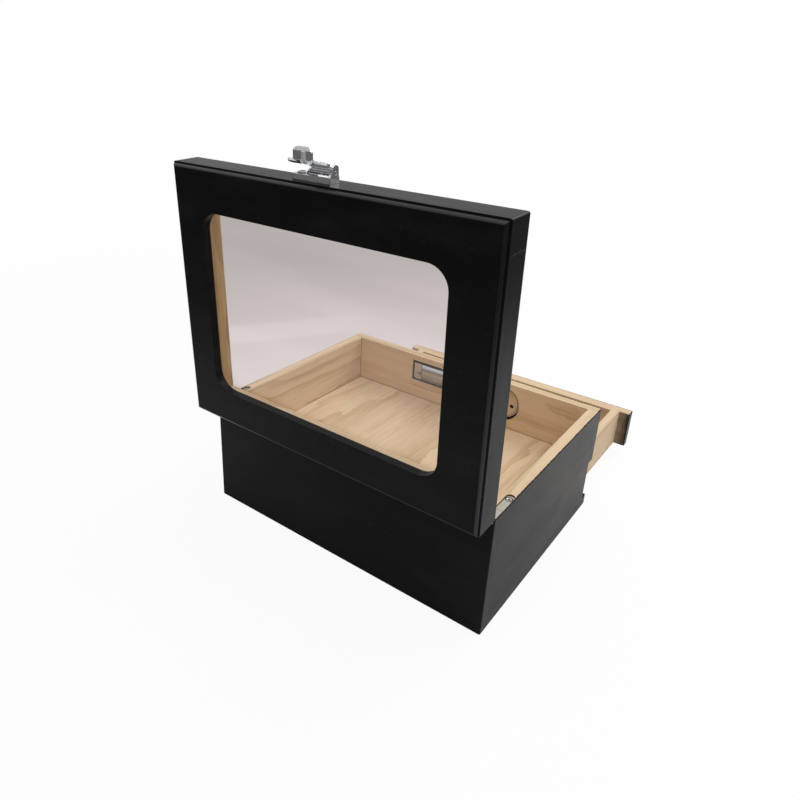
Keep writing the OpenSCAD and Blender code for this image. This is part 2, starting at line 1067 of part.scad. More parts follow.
module humidifier_case() {
    color("#b9b2a4")
        puck_place()
            difference() {
                y_rod(cup_r, plate_t, puck_d - plate_t);
                y_rod(cup_r - cup_wall, cover_y, puck_d);
            }
}

module humidifier_sponge() {
    color("#6f8f52")
        puck_place()
            y_rod(cover_r - cover_wall - fit, cover_y, sponge_d);
}

module humidifier_cover() {
    color("#c8b79a")
        puck_place()
            difference() {
                y_rod(cover_r, cover_y, puck_d - cover_y);
                y_rod(cover_r - cover_wall, cover_y - over, puck_d - cover_y - cover_t + over);
                for (i = [0 : vent_count - 1])
                    rotate([0, vent_turn + 360 * i / vent_count, 0])
                        translate([vent_ring, 0, 0])
                            y_rod(vent_r, 0, puck_d + over);
            }
}

// Drawer, drawn closed and moved by drawer_pose

knob_neck_r = 3.2;
knob_foot_r = 5;
knob_foot_t = 2;
knob_bore_r = 1.6;
knob_bore_d = 8;
knob_screw_len = board_t + drawer_liner_t + knob_bore_d - over;
knob_screw_head_r = 3.4;
knob_screw_head_h = 1.8;
// Rounding of the knob's head and the flat between its two rounds
knob_round = 2;
knob_flat = 2;

module drawer_knob_place() {
    translate([0, -half_d, drawer_mid_z])
        children();
}

module drawer_front() {
    color(paint)
        drawer_pose()
            difference() {
                intersection() {
                    footprint(drawer_z, drawer_top - drawer_z);
                    translate([-half_w, -half_d, 0])
                        cube([case_w, board_t, case_h]);
                }
                drawer_knob_place()
                    y_rod(knob_bore_r + fit, -over, board_t + 2 * over);
            }
}

module drawer_inner_front() {
    w = 2 * (drawer_half - drawer_side_t);
    color(pale_wood)
        drawer_pose()
            difference() {
                translate([-w / 2, -half_d + board_t, drawer_z + drawer_bottom_t])
                    cube([w, drawer_liner_t, drawer_top - drawer_z - drawer_bottom_t]);
                drawer_knob_place()
                    y_rod(knob_bore_r + fit, -over, board_t + drawer_liner_t + 2 * over);
            }
}

module drawer_side(side) {
    color(pale_wood)
        drawer_pose()
            translate([
                side * (drawer_half - drawer_side_t / 2) - drawer_side_t / 2,
                -half_d + board_t,
                drawer_z + drawer_bottom_t
            ])
                cube([drawer_side_t, drawer_len, drawer_top - drawer_z - drawer_bottom_t]);
}

module drawer_left_side() {
    drawer_side(-1);
}

module drawer_right_side() {
    drawer_side(1);
}

module drawer_back() {
    w = 2 * (drawer_half - drawer_side_t);
    color(pale_wood)
        drawer_pose()
            translate([
                -w / 2,
                -half_d + board_t + drawer_len - drawer_side_t,
                drawer_z + drawer_bottom_t
            ])
                cube([w, drawer_side_t, drawer_top - drawer_z - drawer_bottom_t]);
}

module drawer_bottom() {
    color(pale_wood)
        drawer_pose()
            translate([-drawer_half, -half_d + board_t, drawer_z])
                cube([2 * drawer_half, drawer_len, drawer_bottom_t]);
}

// Turned knob: a foot, a slim neck and a rounded head, with a blind hole for its screw
module drawer_knob() {
    head = knob_r - knob_round;
    head_low = knob_len - 2 * knob_round - knob_flat;
    color(bright)
        drawer_pose()
            drawer_knob_place()
                rotate([90, 0, 0])
                    difference() {
                        rotate_extrude()
                            difference() {
                                union() {
                                    square([knob_foot_r, knob_foot_t]);
                                    square([knob_neck_r, head_low + knob_round]);
                                    translate([0, head_low])
                                        square([head, knob_len - head_low]);
                                    translate([0, head_low + knob_round])
                                        square([knob_r, knob_flat]);
                                    for (y = [head_low + knob_round, knob_len - knob_round])
                                        translate([head, y])
                                            circle(knob_round);
                                }
                                translate([-knob_r, -over])
                                    square([knob_r, knob_len + 2 * over]);
                            }
                        translate([0, 0, -over])
                            cylinder(r = knob_bore_r + fit, h = knob_bore_d + over);
                    }
}

module drawer_knob_screw() {
    color(dark_steel)
        drawer_pose()
            drawer_knob_place()
                translate([0, board_t + drawer_liner_t, 0])
                    rotate([-90, 0, 0])
                        difference() {
                            union() {
                                cylinder(
                                    r1 = knob_screw_head_r,
                                    r2 = crown_share * knob_screw_head_r,
                                    h = knob_screw_head_h
                                );
                                translate([0, 0, -knob_screw_len])
                                    cylinder(r = knob_bore_r, h = knob_screw_len);
                            }
                            translate([0, 0, knob_screw_head_h / 2])
                                cross_recess(knob_screw_head_r, knob_screw_head_h);
                        }
}

base_board();
left_side();
right_side();
front_fascia();
back_wall();
tray_floor();
left_hinge_case_leaf();
right_hinge_case_leaf();
left_hinge_pin();
right_hinge_pin();
hinge_case_screws();
strike_plate();
strike_screws();
hygrometer_housing();
hygrometer_bezel();
hygrometer_lens();
hygrometer_display();
hygrometer_board();
hygrometer_cell();
hygrometer_battery_door();
hygrometer_screw();
humidifier_plate();
humidifier_case();
humidifier_sponge();
humidifier_cover();
lid_panel();
lid_glass();
lid_front_rail();
lid_back_rail();
lid_left_rail();
lid_right_rail();
left_hinge_lid_leaf();
right_hinge_lid_leaf();
hinge_lid_screws();
latch_base();
latch_pin();
latch_screws();
latch_lever();
drawer_front();
drawer_inner_front();
drawer_left_side();
drawer_right_side();
drawer_back();
drawer_bottom();
drawer_knob();
drawer_knob_screw();
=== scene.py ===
# %% [markdown]
# A cigar humidor stands on a white table with its lid up and its drawer half out.
# The boards, hinges and latch come from the CAD model as a fixed frame, so this
# lesson shapes only the light, the finishes, a soft foam pad and printed numerals.
# We keep the model's own box at once.

# %% Load the frame
import json
import math

import bpy
import numpy as np
from mathutils import Matrix, Vector

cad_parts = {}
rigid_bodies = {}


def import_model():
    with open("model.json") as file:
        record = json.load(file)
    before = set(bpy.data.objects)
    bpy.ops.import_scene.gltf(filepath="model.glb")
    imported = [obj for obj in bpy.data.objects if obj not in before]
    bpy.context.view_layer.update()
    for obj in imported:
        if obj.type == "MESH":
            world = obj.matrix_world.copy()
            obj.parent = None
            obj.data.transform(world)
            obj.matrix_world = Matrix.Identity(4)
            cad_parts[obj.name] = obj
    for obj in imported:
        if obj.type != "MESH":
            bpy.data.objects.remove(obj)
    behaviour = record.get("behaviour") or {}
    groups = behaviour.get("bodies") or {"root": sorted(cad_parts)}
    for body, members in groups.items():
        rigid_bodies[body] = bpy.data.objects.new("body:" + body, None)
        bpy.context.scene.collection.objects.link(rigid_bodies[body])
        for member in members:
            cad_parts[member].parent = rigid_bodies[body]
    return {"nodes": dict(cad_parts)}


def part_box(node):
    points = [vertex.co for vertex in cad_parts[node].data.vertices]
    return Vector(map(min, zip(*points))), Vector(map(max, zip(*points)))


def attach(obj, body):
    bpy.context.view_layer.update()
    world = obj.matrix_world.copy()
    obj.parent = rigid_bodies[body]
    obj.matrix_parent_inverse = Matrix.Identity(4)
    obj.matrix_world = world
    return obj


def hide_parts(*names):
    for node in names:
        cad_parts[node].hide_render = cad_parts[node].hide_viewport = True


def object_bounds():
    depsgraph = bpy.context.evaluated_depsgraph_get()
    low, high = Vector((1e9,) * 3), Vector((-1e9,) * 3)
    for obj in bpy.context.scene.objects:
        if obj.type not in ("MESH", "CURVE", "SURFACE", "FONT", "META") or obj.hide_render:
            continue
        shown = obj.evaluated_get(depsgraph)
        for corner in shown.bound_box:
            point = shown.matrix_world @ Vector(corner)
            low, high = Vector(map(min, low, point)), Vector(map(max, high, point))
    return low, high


for thing in list(bpy.data.objects):
    bpy.data.objects.remove(thing)
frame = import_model()
cad_low, cad_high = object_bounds()
scene = bpy.context.scene

# %% [markdown]
# The photograph looks down on the back of the box from its left rear corner.
# The camera was solved from the corners of the box: its place, its right and up
# directions, its focal length and the pixel that its axis meets, all for a picture
# of 800 by 800 pixels. A shifted lens gives the off-centre framing without bending
# any of the upright edges.

# %% Camera
IMAGE_PX = 800
FOCAL_PX = 677.41
AXIS_PX = (358.38, 345.81)
CAMERA_AT = Vector((-0.26955, 0.44000, 0.36601))
CAMERA_RIGHT = Vector((-0.793201, -0.608082, 0.032685))
CAMERA_UP = Vector((0.261506, -0.291661, 0.920081))

lens = bpy.data.cameras.new("photo_lens")
lens.lens = lens.sensor_width * FOCAL_PX / IMAGE_PX
lens.shift_x = 0.5 - AXIS_PX[0] / IMAGE_PX
lens.shift_y = AXIS_PX[1] / IMAGE_PX - 0.5
lens.clip_start = 0.01
camera = bpy.data.objects.new("photo_camera", lens)
camera_turn = Matrix((CAMERA_RIGHT, CAMERA_UP, CAMERA_RIGHT.cross(CAMERA_UP))).transposed()
camera.matrix_world = Matrix.Translation(CAMERA_AT) @ camera_turn.to_4x4()
scene.collection.objects.link(camera)
scene.camera = camera
print(f"camera: {lens.lens:.2f} mm lens, shift {lens.shift_x:.3f}, {lens.shift_y:.3f}")

# %% [markdown]
# Every finish below is a tree of shader nodes. Small helpers keep the trees readable:
# they add a node and fill its sockets, do arithmetic, step smoothly between two levels,
# mix, make noise, and make or place a group. A socket is filled either with a plain
# value or with a link.

# %% Helpers for shader nodes
NODES_IN_ROW = 8
NODE_STEP = (220, -320)
SWING_NOISE = (0.3, 0.7)
SURFACE = [("Color", "Color"), ("Roughness", "Float"), ("Height", "Float")]


def put(tree, kind, sockets=None, **settings):
    """Adds a node to a tree, laid out in rows, with its settings and its sockets filled."""
    node = tree.nodes.new(kind)
    row, column = divmod(len(tree.nodes) - 1, NODES_IN_ROW)
    node.location = (column * NODE_STEP[0], row * NODE_STEP[1])
    for name, value in settings.items():
        setattr(node, name, value)
    for name, value in (sockets or {}).items():
        if isinstance(value, bpy.types.NodeSocket):
            tree.links.new(value, node.inputs[name])
        else:
            node.inputs[name].default_value = value
    return node


def calc(tree, operation, *terms, clamp=False):
    """The result of one Math node on sockets or numbers."""
    node = put(tree, "ShaderNodeMath", dict(enumerate(terms)), operation=operation, use_clamp=clamp)
    return node.outputs[0]


def calc_vector(tree, operation, *terms):
    """The outputs of one Vector Math node: 0 is a vector, and "Value" is a number."""
    return put(tree, "ShaderNodeVectorMath", dict(enumerate(terms)), operation=operation).outputs


def axes_of(tree, vector):
    """The X, Y and Z of a vector."""
    return put(tree, "ShaderNodeSeparateXYZ", {0: vector}).outputs


def distance(tree, first, second):
    """The length of two offsets that stand at right angles."""
    flat = put(tree, "ShaderNodeCombineXYZ", {"X": first, "Y": second}).outputs[0]
    return calc_vector(tree, "LENGTH", flat)["Value"]


def past(tree, value, limit):
    """How far a value lies beyond a limit, on either side of zero."""
    return calc(tree, "SUBTRACT", calc(tree, "ABSOLUTE", value), limit)


def ramp(tree, value, low, high, out_low=0.0, out_high=1.0):
    """A smooth step: out_low where the value is under low, out_high where it is over high."""
    sockets = {"Value": value, "From Min": low, "From Max": high, "To Min": out_low, "To Max": out_high}
    return put(tree, "ShaderNodeMapRange", sockets, interpolation_type="SMOOTHSTEP").outputs["Result"]


def fade(tree, value, low, high):
    """A smooth step down: 1 where the value is under low, 0 where it is over high."""
    return ramp(tree, value, low, high, 1.0, 0.0)


def swing(tree, value):
    """Noise stretched about its middle, from -0.5 to 0.5."""
    return ramp(tree, value, *SWING_NOISE, -0.5, 0.5)


def mix_value(tree, share, first, second):
    """First number where the share is 0 and second where it is 1."""
    return put(tree, "ShaderNodeMix", {0: share, 2: first, 3: second}).outputs[0]


def mix_colour(tree, share, first, second):
    """First colour where the share is 0 and second where it is 1."""
    return put(tree, "ShaderNodeMix", {0: share, 6: first, 7: second}, data_type="RGBA").outputs[2]


def mix_shader(tree, share, first, second):
    """First shader where the share is 0 and second where it is 1."""
    return put(tree, "ShaderNodeMixShader", {0: share, 1: first, 2: second}).outputs[0]


def noise(tree, vector, scale, detail=2.0, roughness=0.5):
    """Soft noise from 0 to 1. The scale has one count per metre for each axis."""
    stretched = calc_vector(tree, "MULTIPLY", vector, scale)[0]
    sockets = {"Vector": stretched, "Scale": 1.0, "Detail": detail, "Roughness": roughness}
    return put(tree, "ShaderNodeTexNoise", sockets).outputs


def set_bump(tree, shader, height, normal=None):
    """Tilts a shader's normal by a height in metres, on top of another normal if there is one."""
    sockets = {"Distance": 1.0, "Height": height}
    if normal is not None:
        sockets["Normal"] = normal
    tree.links.new(put(tree, "ShaderNodeBump", sockets).outputs[0], shader["Normal"])


def node_group(name, inputs, outputs):
    """An empty shader group with named sockets: its tree, its inputs and its outputs."""
    tree = bpy.data.node_groups.new(name, "ShaderNodeTree")
    for label, kind, value in inputs:
        socket = tree.interface.new_socket(label, in_out="INPUT", socket_type="NodeSocket" + kind)
        if value is not None:
            socket.default_value = value
    for label, kind in outputs:
        tree.interface.new_socket(label, in_out="OUTPUT", socket_type="NodeSocket" + kind)
    return tree, put(tree, "NodeGroupInput").outputs, put(tree, "NodeGroupOutput").inputs


def use_group(tree, group, sockets):
    """Places a shader group in a tree and returns its outputs."""
    return put(tree, "ShaderNodeGroup", sockets, node_tree=group).outputs


print("helpers ready")

# %% [markdown]
# The photograph is a cut-out on pure white. A white table lit like the object would
# come out grey, so the table shows itself to the camera as mostly white by a Light
# Path share, and keeps some of its true shading, which holds the soft shadow. Through
# the pane the photograph still has its real backdrop, a pale mauve paper, so rays that
# came through glass see a glowing paper with painted shade that darkens it with distance
# and painted light and shade of soft folds and one lit crease. Mirrored rays see the
# table painted dark a short way off, as painted shade of the room round it.

# %% White table
TABLE_HALF, TABLE_DROP = 8.0, 0.0003
TABLE_WHITE, MIRROR_SHADE_TONE = (0.86, 0.86, 0.86, 1), (0.15, 0.145, 0.14, 1)
SHADOW_REACH, MIRROR_SHADE_REACH = (0.45, 1.5), (0.30, 0.80)
CAMERA_SHARE, GLASS_SHARE, METAL_SHARE = 0.93, 0.80, 0.06
PAPER_NEAR, PAPER_FAR_SHADED = (0.72, 0.64, 0.63, 1), (0.62, 0.58, 0.555, 1)
PAPER_SHADE_REACH = (0.27, 0.82)
FOLD_SCALE, FOLD_NOISE, FOLD_LIGHT = (2.0, 7.0, 1.0), (0.35, 0.65), (0.95, 1.03)
CREASE_FACES, CREASE_RUNS = (0.841, -0.540, 0.0), (-0.540, -0.841, 0.0)
CREASE_RISE, CREASE_FALL, CREASE_END = (0.385, 0.410), (0.450, 0.475), (0.04, 0.15)
CREASE_LIGHT = 0.11

table_mesh = bpy.data.meshes.new("white_table")
corners = TABLE_HALF * np.array([(-1, -1, 0), (1, -1, 0), (1, 1, 0), (-1, 1, 0)])
table_mesh.from_pydata((corners - (0, 0, TABLE_DROP)).tolist(), [], [(0, 1, 2, 3)])
table = bpy.data.objects.new("white_table", table_mesh)
scene.collection.objects.link(table)


def sees_white(tree, camera_share):
    """Share of the plain white that a ray sees: most for the camera, little for metal. The
    second result is the share of the paper backdrop, for rays that came through glass."""
    rays = put(tree, "ShaderNodeLightPath").outputs
    seen = calc(tree, "MULTIPLY", rays["Is Camera Ray"], camera_share)
    seen = calc(tree, "MULTIPLY_ADD", rays["Is Glossy Ray"], METAL_SHARE, seen, clamp=True)
    return seen, calc(tree, "MULTIPLY", rays["Is Transmission Ray"], GLASS_SHARE)


table_finish = bpy.data.materials.new("white_table")
table_finish.use_nodes = True
tree = table_finish.node_tree
tree.nodes.clear()
spot = put(tree, "ShaderNodeTexCoord").outputs["Object"]
away = calc_vector(tree, "LENGTH", spot)["Value"]
white, paper = sees_white(tree, ramp(tree, away, *SHADOW_REACH, CAMERA_SHARE, 1.0))
glossy = put(tree, "ShaderNodeLightPath").outputs["Is Glossy Ray"]
# Painted shade: for mirrored rays the table turns dark a short way off.
mirror_shade = calc(tree, "MULTIPLY", glossy, ramp(tree, away, *MIRROR_SHADE_REACH))
mirror_shaded_table = mix_colour(tree, mirror_shade, TABLE_WHITE, MIRROR_SHADE_TONE)
lit = put(tree, "ShaderNodeBsdfDiffuse", {"Color": mirror_shaded_table}).outputs[0]
plain = put(tree, "ShaderNodeEmission", {"Strength": 1.0}).outputs[0]
shown = mix_shader(tree, white, lit, plain)
# Painted shade and light: the glowing backdrop darkens with distance, and its folds and crease are painted
# light and shade.
backdrop = mix_colour(tree, ramp(tree, away, *PAPER_SHADE_REACH), PAPER_NEAR, PAPER_FAR_SHADED)
fold_shading = noise(tree, spot, FOLD_SCALE, detail=1.0)["Fac"]
fold_shading = ramp(tree, fold_shading, *FOLD_NOISE, *FOLD_LIGHT)
over = calc_vector(tree, "DOT_PRODUCT", spot, CREASE_FACES)["Value"]
along = calc_vector(tree, "DOT_PRODUCT", spot, CREASE_RUNS)["Value"]
crease_highlight = calc(tree, "MULTIPLY", ramp(tree, over, *CREASE_RISE), fade(tree, over, *CREASE_FALL))
crease_highlight = calc(tree, "MULTIPLY", crease_highlight, fade(tree, along, *CREASE_END))
fold_shading = calc(tree, "MULTIPLY_ADD", crease_highlight, CREASE_LIGHT, fold_shading)
backdrop = put(tree, "ShaderNodeVectorMath", {0: backdrop, "Scale": fold_shading}, operation="SCALE").outputs[0]
backdrop = put(tree, "ShaderNodeEmission", {"Color": backdrop, "Strength": 1.0}).outputs[0]
put(tree, "ShaderNodeOutputMaterial", {"Surface": mix_shader(tree, paper, shown, backdrop)})
table_mesh.materials.append(table_finish)
print("table:", 2 * TABLE_HALF, "m wide,", len(tree.nodes), "nodes")

# %% [markdown]
# The room is bright overhead and beyond the box and dim on the camera's side, as in a
# studio, so that polished pieces get both light and dark bands and black faces stay
# black. Mirrored rays see a room with more contrast than the one that lights the box,
# and the camera sees plain white.

# %% Room
ROOM_DIM, ROOM_BEYOND, ROOM_HIGH = 0.23, 0.52, 0.56
ROOM_TURN, ROOM_RISE = (-0.6, 0.4), (0.05, 0.9)
MIRROR_DIM, MIRROR_HIGH = 0.09, 1.10
MIRROR_TURN, MIRROR_RISE = (-0.6, 0.2), (0.05, 0.80)

room = bpy.data.worlds.new("white_room")
room.use_nodes = True
scene.world = room
tree = room.node_tree
tree.nodes.clear()
toward = axes_of(tree, put(tree, "ShaderNodeTexCoord").outputs["Generated"])
level = ramp(tree, toward["Y"], *ROOM_TURN, ROOM_BEYOND, ROOM_DIM)
fill = ramp(tree, toward["Z"], *ROOM_RISE, level, ROOM_HIGH)
mirror_level = ramp(tree, toward["Y"], *MIRROR_TURN, ROOM_BEYOND, MIRROR_DIM)
mirror_fill = ramp(tree, toward["Z"], *MIRROR_RISE, mirror_level, MIRROR_HIGH)
glossy = put(tree, "ShaderNodeLightPath").outputs["Is Glossy Ray"]
fill = mix_value(tree, glossy, fill, mirror_fill)
strength = mix_value(tree, sees_white(tree, 1.0)[0], fill, 1.0)
sky = put(tree, "ShaderNodeBackground", {"Color": (1, 1, 1, 1), "Strength": strength}).outputs[0]
put(tree, "ShaderNodeOutputWorld", {"Surface": sky})
scene.view_settings.view_transform = "Standard"
print("room: from", ROOM_DIM, "to", ROOM_HIGH)

# %% [markdown]
# In the photograph the black faces towards the camera are nearly lightless, the rims
# are bright, and the inside of the tray is evenly lit. So one large soft panel stands
# beyond the box, in front of its drawer, where the raised lid shades the table on the
# camera's side and the black faces mirror that shade. A second one hangs overhead and
# reaches the inside of the tray. An area lamp of P watts at distance d lights a white
# card as brightly as its own colour when P is about 10 d squared.

# %% Lamps
LAMPS = [
    ("front_panel", (-0.35, -0.90, 1.00), (1.0, 1.0), 7.6),
    ("ceiling_panel", (-0.30, 0.35, 1.35), (1.2, 1.0), 6.0),
]
LAMP_AIM = Vector((0.0, -0.02, 0.10))

for name, place, size, watts in LAMPS:
    panel = bpy.data.lights.new(name, "AREA")
    panel.shape = "RECTANGLE"
    panel.size, panel.size_y = size
    panel.energy = watts
    lamp = bpy.data.objects.new(name, panel)
    lamp.location = place
    lamp.rotation_euler = (LAMP_AIM - Vector(place)).to_track_quat("-Z", "Y").to_euler()
    scene.collection.objects.link(lamp)
    print(f"lamp {name}: {watts} W at {(LAMP_AIM - Vector(place)).length:.2f} m")

# %% [markdown]
# The bare wood is a pale, fast-grown softwood. A sawn board is a slice through a
# stack of cones, the year rings of the trunk. So the grain here is solid: each point
# of a board has a distance from the heart of the trunk, and the ring it falls in gives
# the tone. A board cut along the heart shows arches, and one cut beside it shows lines.
# Noise stretched along the trunk adds the fibres and the short dark pores.

# %% Shader group: pale wood
EARLY_WOOD, LATE_WOOD = (0.735, 0.56, 0.375, 1), (0.54, 0.375, 0.215, 1)
SWAY_SCALE, PATCH_SCALE, STAIN_SCALE = (5, 17, 17), (7, 30, 30), (6, 60, 60)
FIBRE_SCALE, PORE_SCALE, STREAK_SCALE = (12, 400, 400), (45, 700, 700), (4, 260, 260)
RING_RISE, RING_FALL = (0.30, 0.94), (0.96, 1.0)
PATCH_NOISE, PATCH_LEAST = (0.25, 0.75), 0.25
PORE_NOISE, STREAK_NOISE = (0.60, 0.70), (0.58, 0.70)
FIBRE_TONE, PORE_TONE, STREAK_TONE, STAIN_TONE = 0.34, 0.28, 0.24, 0.30
WOOD_NOISE, WOOD_ROUGH = (0.25, 0.75), (0.52, 0.70)
PORE_DEPTH = 0.6

wood_group, given, made = node_group(
    "pale_wood",
    [("Vector", "Vector", None), ("Ring Width", "Float", 0.009), ("Figure", "Float", 0.8),
     ("Wander", "Float", 0.022), ("Early Wood", "Color", EARLY_WOOD), ("Late Wood", "Color", LATE_WOOD)],
    SURFACE,
)
tree = wood_group
trunk = given["Vector"]
wander = noise(tree, trunk, SWAY_SCALE, detail=5.0, roughness=0.55)["Color"]
wander = calc_vector(tree, "SUBTRACT", wander, (0.5, 0.5, 0.5))[0]
sway = put(tree, "ShaderNodeCombineXYZ", {"Y": given["Wander"], "Z": given["Wander"]}).outputs[0]
wander = calc_vector(tree, "MULTIPLY_ADD", wander, sway, trunk)[0]
across = calc_vector(tree, "MULTIPLY", wander, (0, 1, 1))[0]
from_heart = calc_vector(tree, "LENGTH", across)["Value"]
year = calc(tree, "FRACT", calc(tree, "DIVIDE", from_heart, given["Ring Width"]))
late = calc(tree, "MULTIPLY", ramp(tree, year, *RING_RISE), fade(tree, year, *RING_FALL))
patchy = noise(tree, trunk, PATCH_SCALE, detail=2.0)["Fac"]
late = calc(tree, "MULTIPLY", late, ramp(tree, patchy, *PATCH_NOISE, PATCH_LEAST))
fibre = noise(tree, trunk, FIBRE_SCALE, detail=3.0, roughness=0.6)["Fac"]
pores = ramp(tree, noise(tree, trunk, PORE_SCALE, detail=1.0)["Fac"], *PORE_NOISE)
streaks = ramp(tree, noise(tree, trunk, STREAK_SCALE, detail=2.0)["Fac"], *STREAK_NOISE)
stain = noise(tree, trunk, STAIN_SCALE, detail=4.0)["Fac"]
tone = calc(tree, "MULTIPLY", late, given["Figure"])
tone = calc(tree, "MULTIPLY_ADD", swing(tree, fibre), FIBRE_TONE, tone)
tone = calc(tree, "MULTIPLY_ADD", pores, PORE_TONE, tone)
tone = calc(tree, "MULTIPLY_ADD", streaks, STREAK_TONE, tone)
tone = calc(tree, "MULTIPLY_ADD", swing(tree, stain), STAIN_TONE, tone)
tree.links.new(mix_colour(tree, tone, given["Early Wood"], given["Late Wood"]), made["Color"])
tree.links.new(ramp(tree, fibre, *WOOD_NOISE, *WOOD_ROUGH), made["Roughness"])
sunk = calc(tree, "MULTIPLY", pores, PORE_DEPTH)
tree.links.new(calc(tree, "SUBTRACT", fibre, sunk), made["Height"])
print("group pale_wood:", len(tree.nodes), "nodes")

# %% [markdown]
# The outside is sprayed satin black over the same wood. The colour hardly varies, so
# what the eye reads is the gloss: a fine orange-peel skin, the grain that shows
# through as low ridges, hazy rubbed patches, and specks of dust lying on it.

# %% Shader group: satin black paint
PAINT_BLACK = (0.0045, 0.0045, 0.0047, 1)
PAINT_DUST = (0.014, 0.0135, 0.013, 1)
PEEL_SCALE, RIDGE_SCALE = (800, 800, 800), (9, 260, 260)
RUB_SCALE, SPECK_SCALE = (14, 40, 40), (420, 420, 420)
RUB_NOISE, SPECK_NOISE = (0.45, 0.75), (0.74, 0.82)
RUB_DUST, SPECK_DUST = 0.45, 0.5
SATIN_NOISE, SATIN_ROUGH, RIDGE_ROUGH = (0.3, 0.7), (0.27, 0.34), 0.025
RIDGE_HIGH, PEEL_HIGH = 0.5, 0.35

paint_group, given, made = node_group("satin_black_paint", [("Vector", "Vector", None)], SURFACE)
tree = paint_group
peel = noise(tree, given["Vector"], PEEL_SCALE, detail=1.0)["Fac"]
ridges = noise(tree, given["Vector"], RIDGE_SCALE, detail=3.0)["Fac"]
rubbed = noise(tree, given["Vector"], RUB_SCALE, detail=4.0, roughness=0.6)["Fac"]
specks = ramp(tree, noise(tree, given["Vector"], SPECK_SCALE, detail=0.0)["Fac"], *SPECK_NOISE)
dusty = calc(tree, "MULTIPLY", ramp(tree, rubbed, *RUB_NOISE), RUB_DUST)
dusty = calc(tree, "MULTIPLY_ADD", specks, SPECK_DUST, dusty, clamp=True)
tree.links.new(mix_colour(tree, dusty, PAINT_BLACK, PAINT_DUST), made["Color"])
satin = ramp(tree, rubbed, *SATIN_NOISE, *SATIN_ROUGH)
satin = calc(tree, "MULTIPLY_ADD", swing(tree, ridges), RIDGE_ROUGH, satin)
tree.links.new(satin, made["Roughness"])
skin = calc(tree, "MULTIPLY", peel, PEEL_HIGH)
tree.links.new(calc(tree, "MULTIPLY_ADD", ridges, RIDGE_HIGH, skin), made["Height"])
print("group satin_black_paint:", len(tree.nodes), "nodes")

# %% [markdown]
# The box was glued up bare, closed, and sprayed from outside. Paint is therefore
# wherever a point lies close under the skin of the closed box, and the rims, the
# inside and the drawer stay bare. The depth under the skin is the distance rule of a
# rectangle with round corners. The paint creeps a hair over the edges; on the side of
# negative X, on the right of the picture, it creeps a millimetre, which paints the shade
# of the rolled edges there as a dark line.

# %% Shader group: where the spray reached
BOX_HALF = (cad_high.x, 0.100)
BOX_TOP = 0.1204
BOX_CORNER = 0.0012
EDGE_SHADE_CREEP, CREEP_LEAST, CREEP_FADE = 0.0009, 0.0002, (-0.11, -0.03)
RAGGED_SCALE, RAGGED_NOISE, RAGGED_REACH = (350, 350, 350), (0.2, 0.8), (0.7, 1.3)
SPRAY_EDGE = 0.0001

spray_group, given, made = node_group("spray_reach", [("Vector", "Vector", None)], [("Mask", "Float")])
tree = spray_group
place = axes_of(tree, given["Vector"])
past_x = past(tree, place["X"], BOX_HALF[0] - BOX_CORNER)
past_y = past(tree, place["Y"], BOX_HALF[1] - BOX_CORNER)
round_x = calc(tree, "POWER", calc(tree, "MAXIMUM", past_x, 0.0), 2.0)
round_y = calc(tree, "POWER", calc(tree, "MAXIMUM", past_y, 0.0), 2.0)
corner = calc(tree, "SQRT", calc(tree, "ADD", round_x, round_y))
flat = calc(tree, "MINIMUM", calc(tree, "MAXIMUM", past_x, past_y), 0.0)
depth = calc(tree, "SUBTRACT", BOX_CORNER, calc(tree, "ADD", corner, flat))
depth = calc(tree, "MINIMUM", depth, place["Z"])
depth = calc(tree, "MINIMUM", depth, calc(tree, "SUBTRACT", BOX_TOP, place["Z"]))
ragged = noise(tree, given["Vector"], RAGGED_SCALE, detail=2.0)["Fac"]
# Painted shade: the wider creep on the side of negative X darkens the rolled edges there.
creep_with_edge_shade = ramp(tree, place["X"], *CREEP_FADE, EDGE_SHADE_CREEP, CREEP_LEAST)
reach = calc(tree, "MULTIPLY", creep_with_edge_shade, ramp(tree, ragged, *RAGGED_NOISE, *RAGGED_REACH))
short_of = calc(tree, "SUBTRACT", depth, reach)
tree.links.new(fade(tree, short_of, -SPRAY_EDGE, SPRAY_EDGE), made["Mask"])
print("group spray_reach:", len(tree.nodes), "nodes")

# %% [markdown]
# Where the tray's boards meet there is a hair-thin dark line, partly glue and dust and
# partly painted shade in the corner. A point lies on such a line when it is close to two
# of the three planes of the tray's inside at once, so the middle one of its three
# distances to them is small.

# %% Shader group: joint lines and painted corner shade of the tray
TRAY_HALF = (0.121, 0.091)
TRAY_FLOOR = 0.0515
JOINT_WIDE = 0.0006
BROKEN_SCALE, BROKEN_NOISE, BROKEN_LEAST = (60, 60, 60), (0.30, 0.55), 0.35

joint_shade_group, given, made = node_group("tray_joints_and_shade", [("Vector", "Vector", None)], [("Mask", "Float")])
tree = joint_shade_group
place = axes_of(tree, given["Vector"])
off_x = calc(tree, "ABSOLUTE", past(tree, place["X"], TRAY_HALF[0]))
off_y = calc(tree, "ABSOLUTE", past(tree, place["Y"], TRAY_HALF[1]))
off_z = calc(tree, "ABSOLUTE", calc(tree, "SUBTRACT", place["Z"], TRAY_FLOOR))
larger = calc(tree, "MINIMUM", calc(tree, "MAXIMUM", off_x, off_y), off_z)
middle = calc(tree, "MAXIMUM", calc(tree, "MINIMUM", off_x, off_y), larger)
broken = noise(tree, given["Vector"], BROKEN_SCALE, detail=3.0)["Fac"]
broken = ramp(tree, broken, *BROKEN_NOISE, BROKEN_LEAST)
tree.links.new(calc(tree, "MULTIPLY", fade(tree, middle, 0.0, JOINT_WIDE), broken), made["Mask"])
print("group tray_joints_and_shade:", len(tree.nodes), "nodes")

